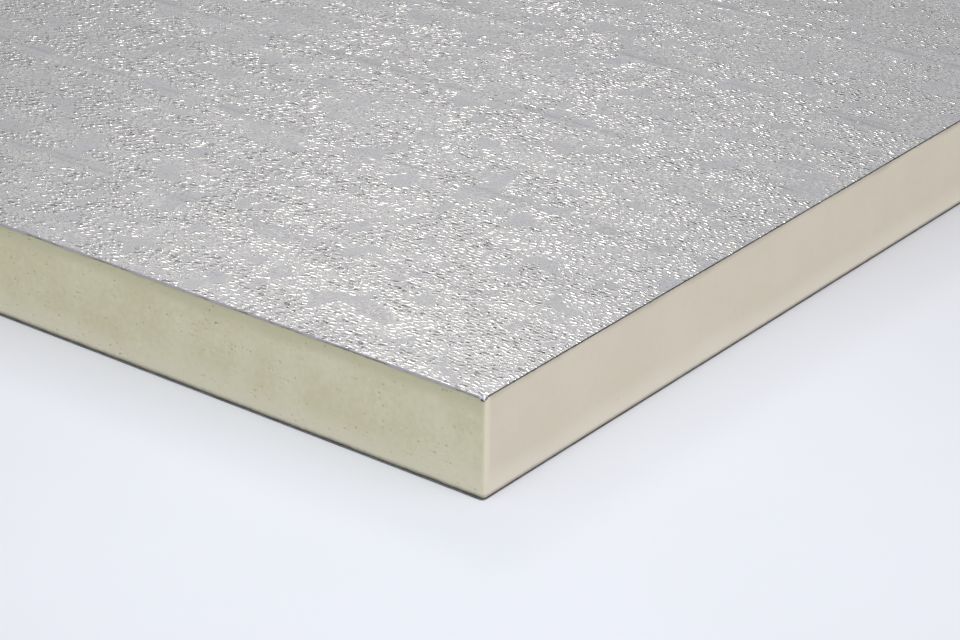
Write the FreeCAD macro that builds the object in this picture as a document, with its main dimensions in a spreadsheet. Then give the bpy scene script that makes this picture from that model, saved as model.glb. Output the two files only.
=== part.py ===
import FreeCAD, Part
import os
import Sketcher

# Foil-faced polyiso insulation board: a rigid foam core laminated between two aluminium facers.
# The frame has +X along the length, +Y across the width and +Z up from the middle of the underside.
# The ends are sawn, and the saw has turned the top foil down over them in a short rolled lip.
# The long sides are trimmed clean, so there the foil stops in a crisp edge, flush with the foam.

# Driving dimensions in millimetres
DRIVING_DIMENSIONS = {
    "board_length": 1200.0,
    "board_width": 600.0,
    "board_thickness": 50.0,
    "facer_thickness": 0.3,
    "lip_depth": 1.5,
    "lip_roll_radius": 1.2,
    "arris_radius": 2.0,
}

# Expressions that read the spreadsheet
HALF_LENGTH = "dimensions.board_length / 2"
HALF_WIDTH = "dimensions.board_width / 2"
THICKNESS = "dimensions.board_thickness"
FACER = "dimensions.facer_thickness"
LIP = "dimensions.lip_depth"
ROLL = "dimensions.lip_roll_radius"
ARRIS = "dimensions.arris_radius"
UNDERSIDE = "0 * dimensions.board_thickness"
FOAM_TOP = f"{THICKNESS} - {FACER}"
LIP_BOTTOM = f"{THICKNESS} - {LIP}"
FOAM_HALF_LENGTH = f"{HALF_LENGTH} - {FACER}"
ROLL_INSIDE = f"{ROLL} - {FACER}"

# Point that every sketch is dimensioned from, as a geometry index and a point on it
SKETCH_ORIGIN = (-1, 1)
LINE_START = 1
LINE_END = 2
ARC_CENTRE = 3

# Two coordinates closer than this are the same place, in millimetres
SAME_PLACE = 1e-6


def make_sheet(doc):
    """Make the spreadsheet that holds the driving dimensions, one alias to a row."""
    sheet = doc.addObject("Spreadsheet::Sheet", "dimensions")
    for row, (alias, value) in enumerate(DRIVING_DIMENSIONS.items(), start=1):
        sheet.set(f"A{row}", alias.replace("_", " "))
        sheet.set(f"B{row}", str(value))
        sheet.setAlias(f"B{row}", alias)
    doc.recompute()


def new_sketch(body, name, role):
    """Start a sketch on one of the body's own origin planes."""
    plane = next(item for item in body.Origin.OriginFeatures if item.Role == role)
    sketch = body.newObject("Sketcher::SketchObject", name)
    sketch.AttachmentSupport = [(plane, "")]
    sketch.MapMode = "FlatFace"
    return sketch


def dimension(sketch, kind, place, expression):
    """Dimension a point of the sketch from its origin, and bind the value to the spreadsheet."""
    value = sketch.evalExpression(expression)
    index = sketch.addConstraint(Sketcher.Constraint(kind, *SKETCH_ORIGIN, *place, value))
    sketch.setExpression(f"Constraints[{index}]", expression)


def add_loop(sketch, corners):
    """Draw straight lines round the corners and join them, each line horizontal or vertical."""
    first = sketch.GeometryCount
    lines = range(first, first + len(corners))
    for start, end in zip(corners, corners[1:] + corners[:1]):
        sketch.addGeometry(Part.LineSegment(start, end), False)
        direction = "Horizontal" if abs(end.y - start.y) < SAME_PLACE else "Vertical"
        sketch.addConstraint(Sketcher.Constraint(direction, sketch.GeometryCount - 1))
    for line, following in zip(lines, [*lines[1:], lines[0]]):
        sketch.addConstraint(Sketcher.Constraint("Coincident", line, LINE_END, following, LINE_START))
    return lines


def add_rectangle(sketch, left, right, low, high):
    """Draw a rectangle whose four sides are dimensioned from the origin of the sketch."""
    x_low, x_high, y_low, y_high = map(sketch.evalExpression, (left, right, low, high))
    corners = [
        FreeCAD.Vector(x_low, y_low, 0),
        FreeCAD.Vector(x_high, y_low, 0),
        FreeCAD.Vector(x_high, y_high, 0),
        FreeCAD.Vector(x_low, y_high, 0),
    ]
    bottom_side, right_side, top_side, left_side = add_loop(sketch, corners)
    dimension(sketch, "DistanceX", (left_side, LINE_START), left)
    dimension(sketch, "DistanceX", (right_side, LINE_START), right)
    dimension(sketch, "DistanceY", (bottom_side, LINE_START), low)
    dimension(sketch, "DistanceY", (top_side, LINE_START), high)


def cut_through(body, name, sketch):
    """Cut a sketch right through the body, both ways from the sketch's plane."""
    doc = body.Document
    before = body.Shape.Volume
    pocket = body.newObject("PartDesign::Pocket", name)
    pocket.Profile = sketch
    pocket.Type = "ThroughAll"
    pocket.SideType = "Symmetric"
    doc.recompute()
    if body.Shape.Volume >= before:
        raise RuntimeError(f"{name} cuts nothing")
    return pocket


def edges_along(feature, axis, **place):
    """Names of the feature's straight edges along one axis, at the given coordinates.

    A coordinate is compared without its sign, so that both ends of the board are found.
    """
    names = []
    for number, edge in enumerate(feature.Shape.Edges, start=1):
        tangent = edge.tangentAt(edge.FirstParameter)
        middle = edge.CenterOfMass
        runs_along = abs(abs(getattr(tangent, axis)) - 1) < SAME_PLACE
        straight = isinstance(edge.Curve, (Part.Line, Part.LineSegment))
        in_place = all(abs(abs(getattr(middle, key)) - value) < SAME_PLACE for key, value in place.items())
        if runs_along and straight and in_place:
            names.append(f"Edge{number}")
    return names


def round_edges(body, name, feature, edges, radius):
    """Round the named edges of the body's last feature."""
    fillet = body.newObject("PartDesign::Fillet", name)
    fillet.Base = (feature, edges)
    fillet.setExpression("Radius", radius)
    body.Document.recompute()
    return fillet


def make_plate(doc, label, base, height):
    """Start a body as a plate of the board's outline, with its four vertical arrises rounded."""
    body = doc.addObject("PartDesign::Body", label)
    outline = new_sketch(body, f"{label}_outline", "XY_Plane")
    outline.setExpression("AttachmentOffset.Base.z", base)
    add_rectangle(outline, f"-{HALF_LENGTH}", HALF_LENGTH, f"-{HALF_WIDTH}", HALF_WIDTH)
    pad = body.newObject("PartDesign::Pad", f"{label}_pad")
    pad.Profile = outline
    pad.setExpression("Length", height)
    doc.recompute()
    round_edges(body, f"{label}_arrises", pad, edges_along(pad, "z"), ARRIS)
    return body


def round_inside_of_lip(body, feature):
    """Round the two edges where the foam meets the inside of the rolled foil lip."""
    foam_half_length = body.evalExpression(FOAM_HALF_LENGTH)
    foam_top = body.evalExpression(FOAM_TOP)
    edges = edges_along(feature, "y", x=foam_half_length, z=foam_top)
    return round_edges(body, f"{body.Label}_lip_roll", feature, edges, ROLL_INSIDE)


def make_foam_core(doc):
    """Foam slab, rebated along the top of each sawn end where the foil is pressed into it."""
    body = make_plate(doc, "foam_core", FACER, f"{THICKNESS} - 2 * {FACER}")
    rebates = new_sketch(body, "foam_core_rebate_profile", "XZ_Plane")
    add_rectangle(rebates, f"-{HALF_LENGTH} - {FACER}", f"-{HALF_LENGTH} + {FACER}", LIP_BOTTOM, THICKNESS)
    add_rectangle(rebates, FOAM_HALF_LENGTH, f"{HALF_LENGTH} + {FACER}", LIP_BOTTOM, THICKNESS)
    pocket = cut_through(body, "foam_core_rebates", rebates)
    round_inside_of_lip(body, pocket)
    return body


def add_roll_waste(sketch, side):
    """Draw the waste outside the foil's roll at one end: a square with a round inner corner.

    The side is -1 for the end at -X and 1 for the end at +X.
    """
    sign = "-" if side < 0 else ""
    centre_x = f"{sign}({HALF_LENGTH} - {ROLL})"
    outside_x = f"{sign}({HALF_LENGTH} + {ROLL})"
    centre_z = f"{THICKNESS} - {ROLL}"
    outside_z = f"{THICKNESS} + {ROLL}"
    radius = sketch.evalExpression(ROLL)
    centre = FreeCAD.Vector(sketch.evalExpression(centre_x), sketch.evalExpression(centre_z), 0)
    end_face = centre + FreeCAD.Vector(side * radius, 0, 0)
    top_face = centre + FreeCAD.Vector(0, radius, 0)
    low_outside = centre + FreeCAD.Vector(2 * side * radius, 0, 0)
    high_inside = centre + FreeCAD.Vector(0, 2 * radius, 0)
    high_outside = centre + FreeCAD.Vector(2 * side * radius, 2 * radius, 0)
    halfway = centre + FreeCAD.Vector(side, 1, 0).normalize() * radius
    low, outside, high, inside = range(sketch.GeometryCount, sketch.GeometryCount + 4)
    sketch.addGeometry(Part.LineSegment(end_face, low_outside), False)
    sketch.addGeometry(Part.LineSegment(low_outside, high_outside), False)
    sketch.addGeometry(Part.LineSegment(high_outside, high_inside), False)
    sketch.addGeometry(Part.LineSegment(high_inside, top_face), False)
    roll = sketch.addGeometry(Part.Arc(end_face, halfway, top_face), False)
    on_end_face, on_top_face = (LINE_START, LINE_END) if side > 0 else (LINE_END, LINE_START)
    constraints = [
        Sketcher.Constraint("Horizontal", low),
        Sketcher.Constraint("Vertical", outside),
        Sketcher.Constraint("Horizontal", high),
        Sketcher.Constraint("Vertical", inside),
        Sketcher.Constraint("Coincident", low, LINE_END, outside, LINE_START),
        Sketcher.Constraint("Coincident", outside, LINE_END, high, LINE_START),
        Sketcher.Constraint("Coincident", high, LINE_END, inside, LINE_START),
        Sketcher.Constraint("Coincident", low, LINE_START, roll, on_end_face),
        Sketcher.Constraint("Coincident", inside, LINE_END, roll, on_top_face),
        Sketcher.Constraint("Horizontal", roll, ARC_CENTRE, roll, on_end_face),
        Sketcher.Constraint("Vertical", roll, ARC_CENTRE, roll, on_top_face),
    ]
    sketch.addConstraint(constraints)
    dimension(sketch, "DistanceX", (roll, ARC_CENTRE), centre_x)
    dimension(sketch, "DistanceY", (roll, ARC_CENTRE), centre_z)
    dimension(sketch, "DistanceX", (outside, LINE_START), outside_x)
    dimension(sketch, "DistanceY", (high, LINE_START), outside_z)
    dimension(sketch, "DistanceY", (inside, LINE_END), THICKNESS)


def make_top_facer(doc):
    """Upper foil: flat over the foam, rolled down over the two sawn ends, open on the long sides."""
    body = make_plate(doc, "top_facer", LIP_BOTTOM, LIP)
    hollow = new_sketch(body, "top_facer_hollow_profile", "XZ_Plane")
    add_rectangle(hollow, f"-({FOAM_HALF_LENGTH})", FOAM_HALF_LENGTH, f"{THICKNESS} - 2 * {LIP}", FOAM_TOP)
    pocket = cut_through(body, "top_facer_hollow", hollow)
    round_inside_of_lip(body, pocket)
    waste = new_sketch(body, "top_facer_roll_profile", "XZ_Plane")
    add_roll_waste(waste, -1)
    add_roll_waste(waste, 1)
    cut_through(body, "top_facer_roll", waste)
    return body


def make_bottom_facer(doc):
    """Lower foil: a flat sheet of the board's outline that the board lies on."""
    return make_plate(doc, "bottom_facer", UNDERSIDE, FACER)


def check(doc, bodies):
    """Stop if any object of the document failed, or a piece isn't one valid solid."""
    for item in doc.Objects:
        if {"Invalid", "Error"} & set(item.State):
            raise RuntimeError(f"{item.Name} failed: {item.State}")
        if item.TypeId == "Sketcher::SketchObject" and not item.FullyConstrained:
            raise RuntimeError(f"{item.Name} isn't fully constrained")
    for body in bodies:
        if body.Shape.isNull() or not body.Shape.isValid() or len(body.Shape.Solids) != 1:
            raise RuntimeError(f"{body.Label} isn't one valid solid")


def main():
    """Build the board and write each piece to its own file."""
    doc = FreeCAD.newDocument("polyiso_board")
    make_sheet(doc)
    bodies = [make_foam_core(doc), make_top_facer(doc), make_bottom_facer(doc)]
    doc.recompute()
    check(doc, bodies)
    os.makedirs("parts", exist_ok=True)
    for body in bodies:
        body.Shape.exportStep(f"parts/{body.Label}.step")
        print(body.Label, body.Shape.BoundBox, round(body.Shape.Volume, 3))


main()
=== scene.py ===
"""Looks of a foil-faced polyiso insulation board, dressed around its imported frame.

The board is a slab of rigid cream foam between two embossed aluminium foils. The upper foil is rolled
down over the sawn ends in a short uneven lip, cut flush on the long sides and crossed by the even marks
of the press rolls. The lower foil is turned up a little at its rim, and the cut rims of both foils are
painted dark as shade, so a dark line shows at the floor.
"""

import logging
import math
from collections.abc import Sequence
from dataclasses import dataclass, field
from enum import Enum, IntEnum
from typing import ClassVar, NamedTuple

import bpy
import numpy as np
from mathutils import Matrix, Vector


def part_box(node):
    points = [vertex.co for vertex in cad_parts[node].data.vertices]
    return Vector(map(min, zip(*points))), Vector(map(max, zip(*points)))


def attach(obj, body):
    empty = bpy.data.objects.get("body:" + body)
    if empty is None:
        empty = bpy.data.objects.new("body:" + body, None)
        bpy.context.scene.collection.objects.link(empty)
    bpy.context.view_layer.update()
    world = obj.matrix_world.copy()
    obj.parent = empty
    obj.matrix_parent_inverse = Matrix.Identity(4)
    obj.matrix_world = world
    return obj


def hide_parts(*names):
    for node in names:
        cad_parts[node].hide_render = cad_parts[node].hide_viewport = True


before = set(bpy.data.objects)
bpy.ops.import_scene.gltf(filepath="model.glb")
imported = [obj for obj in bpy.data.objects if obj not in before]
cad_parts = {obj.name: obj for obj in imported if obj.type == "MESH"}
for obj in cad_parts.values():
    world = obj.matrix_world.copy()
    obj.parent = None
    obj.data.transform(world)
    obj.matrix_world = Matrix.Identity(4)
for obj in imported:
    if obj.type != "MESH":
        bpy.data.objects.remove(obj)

LOG = logging.getLogger("insulation_board")
BODY = "root"
MM = 0.001
FIRST_MARK = 77.0 * MM
FLOOR_CREASE = math.radians(30.0)
Span = tuple[float, float]
Colour = tuple[float, float, float, float]
Inputs = dict[str | int, object]
Sockets = dict[str, bpy.types.NodeSocket]
RISE: Span = (0.0, 1.0)
FALL: Span = (1.0, 0.0)


class Cut(Enum):
    """How a stretch of the foam's upright wall was made."""

    SAWN = "sawn end"
    TRIMMED = "trimmed long side"
    ARRIS = "rounded arris"


class FoamSkin(IntEnum):
    """Material slots of the foam core."""

    SAWN = 0
    TRIMMED = 1


class FoilSkin(IntEnum):
    """Material slots of a facer."""

    FACE = 0
    # The cut rim's slot, painted dark as shade.
    CUT_EDGE_SHADE = 1


class Socket(Enum):
    """Kinds of sockets on the shared node groups."""

    FLOAT = "NodeSocketFloat"
    VECTOR = "NodeSocketVector"
    COLOUR = "NodeSocketColor"


def smooth_step(low: float, high: float, value: np.ndarray) -> np.ndarray:
    """Ramps smoothly from 0 at low to 1 at high.

    Args:
        low: Value at which the ramp starts.
        high: Value at which the ramp ends.
        value: Values to ramp.

    Returns:
        The ramp at each value.
    """
    share = np.clip((value - low) / (high - low), 0.0, 1.0)
    return share * share * (3.0 - 2.0 * share)


def aim(heading: float, rise: float) -> Vector:
    """Gives a direction by its angles.

    Args:
        heading: Heading in degrees, from along the board towards across it.
        rise: Rise above the floor in degrees.

    Returns:
        The unit direction.
    """
    turn = math.radians(heading)
    lift = math.radians(rise)
    return Vector((math.cos(turn) * math.cos(lift), math.sin(turn) * math.cos(lift), math.sin(lift)))


@dataclass(frozen=True)
class Waviness:
    """A smooth random field of plane waves, the same on every run.

    Attributes:
        seed: Start of the random directions and phases.
        shortest: Shortest wavelength.
        longest: Longest wavelength.
        count: Number of plane waves that are added.
    """

    seed: int
    shortest: float
    longest: float
    count: int = 28

    def at(self, u: np.ndarray, v: np.ndarray) -> np.ndarray:
        """Reads the field.

        Args:
            u: First coordinate.
            v: Second coordinate, of the same shape.

        Returns:
            The field's value, of unit spread around 0.
        """
        rng = np.random.default_rng(self.seed)
        lengths = np.exp(rng.uniform(math.log(self.shortest), math.log(self.longest), self.count))
        angles = rng.uniform(0.0, math.tau, self.count)
        phases = rng.uniform(0.0, math.tau, self.count)
        total = np.zeros(np.shape(u))
        for length, angle, phase in zip(lengths, angles, phases):
            along = u * math.cos(angle) + v * math.sin(angle)
            total += np.cos(along * math.tau / length + phase)
        return total * math.sqrt(2.0 / self.count)


class MeshPlan:
    """Points and faces of one mesh, gathered before the mesh is made."""

    def __init__(self) -> None:
        """Starts with nothing in the plan."""
        self.points: list[np.ndarray] = []
        self.faces: list[list[int]] = []
        self.skins: list[int] = []
        self.total = 0

    def add_points(self, points: np.ndarray) -> np.ndarray:
        """Adds points to the plan.

        Args:
            points: Coordinates, three in the last axis.

        Returns:
            The points' numbers, in the shape that they came in.
        """
        flat = np.asarray(points, float).reshape(-1, 3)
        numbers = np.arange(self.total, self.total + len(flat))
        self.points.append(flat)
        self.total += len(flat)
        return numbers.reshape(np.shape(points)[:-1])

    def add_faces(self, corners: np.ndarray, skins: np.ndarray | int) -> None:
        """Adds faces with the same number of corners.

        Args:
            corners: One row of point numbers a face, anticlockwise from outside.
            skins: Material slot of each face, or of all of them.
        """
        self.faces += np.asarray(corners).tolist()
        self.skins += np.broadcast_to(np.asarray(skins), len(corners)).tolist()

    def add_strip(self, lower: np.ndarray, upper: np.ndarray, skin: int) -> None:
        """Adds a closed strip of quads between two loops of points.

        Args:
            lower: Numbers of the loop below, anticlockwise from outside.
            upper: Numbers of the loop above.
            skin: Material slot of the strip.
        """
        corners = (lower, np.roll(lower, -1), np.roll(upper, -1), upper)
        self.add_faces(np.stack(corners, axis=-1), skin)

    def add_grid(self, numbers: np.ndarray, skin: int, upward: bool = True) -> None:
        """Adds the quads of a level grid.

        Args:
            numbers: Numbers of the grid's points, along the board and across it.
            skin: Material slot of the grid.
            upward: Whether the grid faces up.
        """
        corners = (numbers[:-1, :-1], numbers[1:, :-1], numbers[1:, 1:], numbers[:-1, 1:])
        quads = np.stack(corners, axis=-1).reshape(-1, 4)
        self.add_faces(quads if upward else quads[:, ::-1], skin)

    def make(
        self, name: str, materials: Sequence[bpy.types.Material], crease: float
    ) -> bpy.types.Object:
        """Makes the object.

        Args:
            name: The object's name.
            materials: Materials in the order of the slots.
            crease: Angle in radians above which an edge stays sharp.

        Returns:
            The new object, linked to the scene.
        """
        mesh = bpy.data.meshes.new(name)
        mesh.from_pydata(np.concatenate(self.points).tolist(), [], self.faces)
        for material in materials:
            mesh.materials.append(material)
        mesh.polygons.foreach_set("material_index", self.skins)
        mesh.shade_smooth()
        mesh.set_sharp_from_angle(angle=crease)
        mesh.validate()
        mesh.update()
        made = bpy.data.objects.new(name, mesh)
        bpy.context.scene.collection.objects.link(made)
        return made


class NodeSheet:
    """A node tree with short calls to add nodes and links."""

    def __init__(self, tree: bpy.types.NodeTree) -> None:
        """Takes the tree to draw in."""
        self.tree = tree

    def fill(self, node: bpy.types.Node, inputs: Inputs) -> None:
        """Links or sets inputs of a node.

        Args:
            node: The node.
            inputs: Values, or sockets to link from, by the input's name or number.
        """
        for name, value in inputs.items():
            if isinstance(value, bpy.types.NodeSocket):
                self.tree.links.new(value, node.inputs[name])
            else:
                node.inputs[name].default_value = value

    def add(self, kind: str, inputs: Inputs | None = None, **settings: object) -> bpy.types.Node:
        """Adds a node.

        Args:
            kind: The node's type name.
            inputs: Values, or sockets to link from, by the input's name or number.
            settings: Properties of the node, set before its inputs.

        Returns:
            The new node.
        """
        node = self.tree.nodes.new(kind)
        for name, value in settings.items():
            setattr(node, name, value)
        self.fill(node, inputs or {})
        return node

    def group(self, tree: bpy.types.NodeTree, inputs: Inputs) -> Sockets:
        """Places a shared effect and returns its outputs by name."""
        node = self.add("ShaderNodeGroup", inputs, node_tree=tree)
        return {socket.name: socket for socket in node.outputs}

    def math(self, operation: str, *values: object) -> bpy.types.NodeSocket:
        """Adds a Math node and returns its result."""
        return self.add("ShaderNodeMath", dict(enumerate(values)), operation=operation).outputs[0]

    def vector(self, operation: str, *values: object) -> bpy.types.NodeSocket:
        """Adds a Vector Math node and returns its result."""
        node = self.add("ShaderNodeVectorMath", dict(enumerate(values)), operation=operation)
        return node.outputs["Value" if operation in ("LENGTH", "DOT_PRODUCT") else "Vector"]

    def parts(self, vector: object) -> Sockets:
        """Splits a vector and returns its parts X, Y and Z."""
        node = self.add("ShaderNodeSeparateXYZ", {0: vector})
        return {socket.name: socket for socket in node.outputs}

    def combine(self, x: object, y: object) -> bpy.types.NodeSocket:
        """Joins two values into a level vector."""
        return self.add("ShaderNodeCombineXYZ", {"X": x, "Y": y}).outputs["Vector"]

    def turn(self, vector: object, angle: object) -> bpy.types.NodeSocket:
        """Turns a vector about the upright axis by an angle in radians."""
        inputs = {"Vector": vector, "Angle": angle}
        return self.add("ShaderNodeVectorRotate", inputs, rotation_type="Z_AXIS").outputs["Vector"]

    def between(self, value: object, span: Span) -> bpy.types.NodeSocket:
        """Maps a value from 0 to 1 evenly onto a span."""
        return self.math("MULTIPLY_ADD", value, span[1] - span[0], span[0])

    def redraw(self, draw: object, times: float) -> bpy.types.NodeSocket:
        """Makes another random draw from 0 to 1 out of the finer digits of a draw."""
        return self.math("FRACT", self.math("MULTIPLY", draw, times))

    def ramp(self, value: object, span: Span, result: Span = RISE) -> bpy.types.NodeSocket:
        """Adds a smooth Map Range node.

        Args:
            value: The value to map.
            span: Values at which the ramp starts and ends.
            result: Results at the start and at the end.

        Returns:
            The mapped value.
        """
        node = self.add(
            "ShaderNodeMapRange",
            {"Value": value, "From Min": span[0], "From Max": span[1],
             "To Min": result[0], "To Max": result[1]},
            interpolation_type="SMOOTHSTEP",
        )
        return node.outputs["Result"]

    def mix(
        self, share: object, first: object, second: object, blend: str = "MIX"
    ) -> bpy.types.NodeSocket:
        """Adds a colour Mix node.

        Args:
            share: How much of the second colour shows.
            first: Colour at share 0.
            second: Colour at share 1.
            blend: The way the colours are mixed.

        Returns:
            The mixed colour.
        """
        inputs = {0: share, 6: first, 7: second}
        return self.add("ShaderNodeMix", inputs, data_type="RGBA", blend_type=blend).outputs[2]

    def noise(
        self, vector: object, scale: object, detail: float = 2.0, roughness: float = 0.5
    ) -> bpy.types.NodeSocket:
        """Adds a Noise Texture.

        Args:
            vector: The place.
            scale: Scale of the pattern.
            detail: Number of finer layers.
            roughness: Strength of the finer layers.

        Returns:
            The noise, about 0 to 1.
        """
        inputs = {"Vector": vector, "Scale": scale, "Detail": detail, "Roughness": roughness}
        return self.add("ShaderNodeTexNoise", inputs).outputs["Fac"]


class GroupSheet(NodeSheet):
    """The sheet of a node group, with its named inputs and outputs."""

    def __init__(self, name: str, inputs: dict[str, Socket], outputs: dict[str, Socket]) -> None:
        """Starts the group with its sockets.

        Args:
            name: The group's name.
            inputs: Input names with their kinds.
            outputs: Output names with their kinds.
        """
        super().__init__(bpy.data.node_groups.new(name, "ShaderNodeTree"))
        for way, sockets in (("INPUT", inputs), ("OUTPUT", outputs)):
            for socket, kind in sockets.items():
                self.tree.interface.new_socket(socket, in_out=way, socket_type=kind.value)
        entry = self.add("NodeGroupInput")
        self.given: Sockets = {socket: entry.outputs[socket] for socket in inputs}
        self.leave = self.add("NodeGroupOutput")

    def close(self, results: Sockets) -> bpy.types.NodeTree:
        """Links the group's outputs and returns its tree."""
        self.fill(self.leave, results)
        return self.tree


@dataclass(frozen=True)
class Mottle:
    """Two tones that run into each other in soft clouds with a finer grain on top.

    Attributes:
        cloud_weight: Weight of the clouds in the pattern.
        grain_weight: Weight of the grain in the pattern.
        blend: Pattern values where the second tone starts and is full.
    """

    cloud_weight: float = 0.65
    grain_weight: float = 0.35
    blend: Span = (0.34, 0.66)

    def build(self) -> bpy.types.NodeTree:
        """Builds the node group.

        Returns:
            The group's tree.
        """
        sheet = GroupSheet(
            "Mottle",
            {"Vector": Socket.VECTOR, "First Tone": Socket.COLOUR, "Second Tone": Socket.COLOUR,
             "Cloud Scale": Socket.FLOAT, "Grain Scale": Socket.FLOAT},
            {"Color": Socket.COLOUR, "Cloud": Socket.FLOAT},
        )
        given = sheet.given
        cloud = sheet.noise(given["Vector"], given["Cloud Scale"], detail=3.0, roughness=0.55)
        grain = sheet.noise(given["Vector"], given["Grain Scale"])
        clouds = sheet.math("MULTIPLY", cloud, self.cloud_weight)
        both = sheet.math("MULTIPLY_ADD", grain, self.grain_weight, clouds)
        share = sheet.ramp(both, self.blend)
        colour = sheet.mix(share, given["First Tone"], given["Second Tone"])
        return sheet.close({"Color": colour, "Cloud": share})


@dataclass(frozen=True)
class DashCell:
    """The cell of the embossing that holds a point, and the point's place in it.

    Attributes:
        across: Place across the cell, from -0.5 to 0.5.
        along: Place along the cell, from -0.5 to 0.5.
        draws: The cell's three random draws.
        turned: Place seen from the middle of the cell's dash, which lies along Y.
    """

    across: bpy.types.NodeSocket
    along: bpy.types.NodeSocket
    draws: Sockets
    turned: bpy.types.NodeSocket


@dataclass(frozen=True)
class Embossing:
    """Short raised dashes pressed into the foil, mostly across the board, flat on marks and patches.

    Attributes:
        drift_scale: Scale of the noise that bends the rows of dashes.
        drift_reach: How far the rows are bent.
        across_shift: Least and greatest random shift of a dash across its cell.
        along_shift: Least and greatest random shift of a dash along its cell.
        half_length: Least and greatest half length of a dash.
        tip_slope: Slope of a dash's tips against that of its near flank.
        far_flank: Slope of a dash's far flank against that of its near flank.
        flank: Width of the near flank over one unit of height.
        bold_power: How rare the bold dashes are.
        girth: Height of a thin dash and of a bold one, before its strength.
        strength: Least and greatest strength of a dash.
        bold_gain: Strength that a bold dash has on top.
        column_rim: Places across the cell where a dash starts to end and has ended.
        row_rim: Places along the cell where a dash starts to end and has ended.
        swell_scale: Scale of the soft swell between the dashes.
        swell: Lowest and highest swell.
        grain_scale: Scale of the fine grain.
        grain: Lowest and highest grain.
        mark_ragged: How much the patches' noise frays the roll marks.
        mark_offset: Distance that evens the fraying out, in mark widths.
        mark_rim: Distances where a mark starts to end and has ended, in mark widths.
        crowd_reach: Distances where the patches beside a mark get rarer, in mark widths.
        crowd_gain: How much more of the patches shows beside a mark.
        patch_rim: Noise values where a flat patch starts and is full.
        press_depth: Share of the relief that is lost where it is pressed flat.
        cluster_scale: Scale of the clusters of high dashes.
        cluster_stretch: Scale of the clusters across the board, against that along it.
        cluster_blend: Noise values where a cluster starts and is full.
        cluster_height: Height of the relief outside the clusters and in them.
        dark_spot_place: Shift from a painted dark spot to its dash.
        dark_spot_share: Share of the dashes with a painted dark spot beside them.
        dark_spot_rim: Distances where a painted dark spot starts to end and has ended.
    """

    drift_scale: float = 55.0
    drift_reach: float = 5.0 * MM
    across_shift: Span = (-0.1 * MM, 0.6 * MM)
    along_shift: Span = (-0.9 * MM, 0.9 * MM)
    half_length: Span = (0.8 * MM, 1.6 * MM)
    tip_slope: float = 0.6
    far_flank: float = 0.48
    flank: float = 0.60 * MM
    bold_power: float = 4.0
    girth: Span = (0.8, 1.6)
    strength: Span = (0.82, 1.12)
    bold_gain: float = 0.7
    column_rim: Span = (0.26, 0.49)
    row_rim: Span = (0.28, 0.49)
    swell_scale: float = 260.0
    swell: Span = (-0.4, 0.4)
    grain_scale: float = 750.0
    grain: Span = (-0.25, 0.25)
    mark_ragged: float = 3.6
    mark_offset: float = 1.95
    mark_rim: Span = (0.28, 0.62)
    crowd_reach: Span = (0.6, 2.2)
    crowd_gain: float = 0.06
    patch_rim: Span = (0.575, 0.625)
    press_depth: float = 0.85
    cluster_scale: float = 65.0
    cluster_stretch: float = 0.3
    cluster_blend: Span = (0.40, 0.56)
    cluster_height: Span = (0.45, 1.24)
    dark_spot_place: tuple[float, float, float] = (-0.7 * MM, 0.9 * MM, 0.0)
    dark_spot_share: float = 0.18
    dark_spot_rim: Span = (0.45 * MM, 0.85 * MM)

    def build(self) -> bpy.types.NodeTree:
        """Builds the node group.

        Returns:
            The group's tree.
        """
        sizes = ("Dash Pitch", "Dash Row", "Direction", "Spread", "Patch Scale",
                 "Mark Start", "Mark Pitch", "Mark Width")
        results = ("Height", "Dark Spots", "Pressed")
        sheet = GroupSheet(
            "Embossing",
            {"Vector": Socket.VECTOR, **dict.fromkeys(sizes, Socket.FLOAT)},
            dict.fromkeys(results, Socket.FLOAT),
        )
        cell = self.find_cell(sheet)
        pressed = self.press(sheet)
        left = self.leave_relief(sheet, pressed)
        height = sheet.math("MULTIPLY", self.raise_relief(sheet, cell), left)
        dark_spots = sheet.math("MULTIPLY", self.paint_dark_spots(sheet, cell), left)
        return sheet.close({"Height": height, "Dark Spots": dark_spots, "Pressed": pressed})

    def find_cell(self, sheet: GroupSheet) -> DashCell:
        """Finds the cell that holds a point, in columns that are shifted at random.

        Args:
            sheet: The group's sheet.

        Returns:
            The cell.
        """
        given = sheet.given
        drift = sheet.add("ShaderNodeTexNoise", {"Vector": given["Vector"], "Scale": self.drift_scale})
        reach = (self.drift_reach, self.drift_reach, 0.0)
        drifted = sheet.vector("MULTIPLY_ADD", drift.outputs["Color"], reach, given["Vector"])
        grid = sheet.parts(sheet.turn(drifted, given["Direction"]))
        columns = sheet.math("DIVIDE", grid["X"], given["Dash Pitch"])
        column = sheet.math("FLOOR", columns)
        slide = sheet.add("ShaderNodeTexWhiteNoise", {"W": column}, noise_dimensions="1D")
        rows = sheet.math("DIVIDE", grid["Y"], given["Dash Row"])
        rows = sheet.math("ADD", rows, slide.outputs["Value"])
        number = sheet.combine(column, sheet.math("FLOOR", rows))
        chance = sheet.add("ShaderNodeTexWhiteNoise", {"Vector": number}, noise_dimensions="2D")
        draws = sheet.parts(chance.outputs["Color"])
        across = sheet.math("SUBTRACT", sheet.math("FRACT", columns), 0.5)
        along = sheet.math("SUBTRACT", sheet.math("FRACT", rows), 0.5)
        shift_x = sheet.between(draws["X"], self.across_shift)
        shift_y = sheet.between(draws["Y"], self.along_shift)
        place = sheet.combine(
            sheet.math("MULTIPLY_ADD", across, given["Dash Pitch"], shift_x),
            sheet.math("MULTIPLY_ADD", along, given["Dash Row"], shift_y),
        )
        lean = sheet.math("MULTIPLY", sheet.math("SUBTRACT", draws["Z"], 0.5), given["Spread"])
        return DashCell(across, along, draws, sheet.turn(place, lean))

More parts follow.
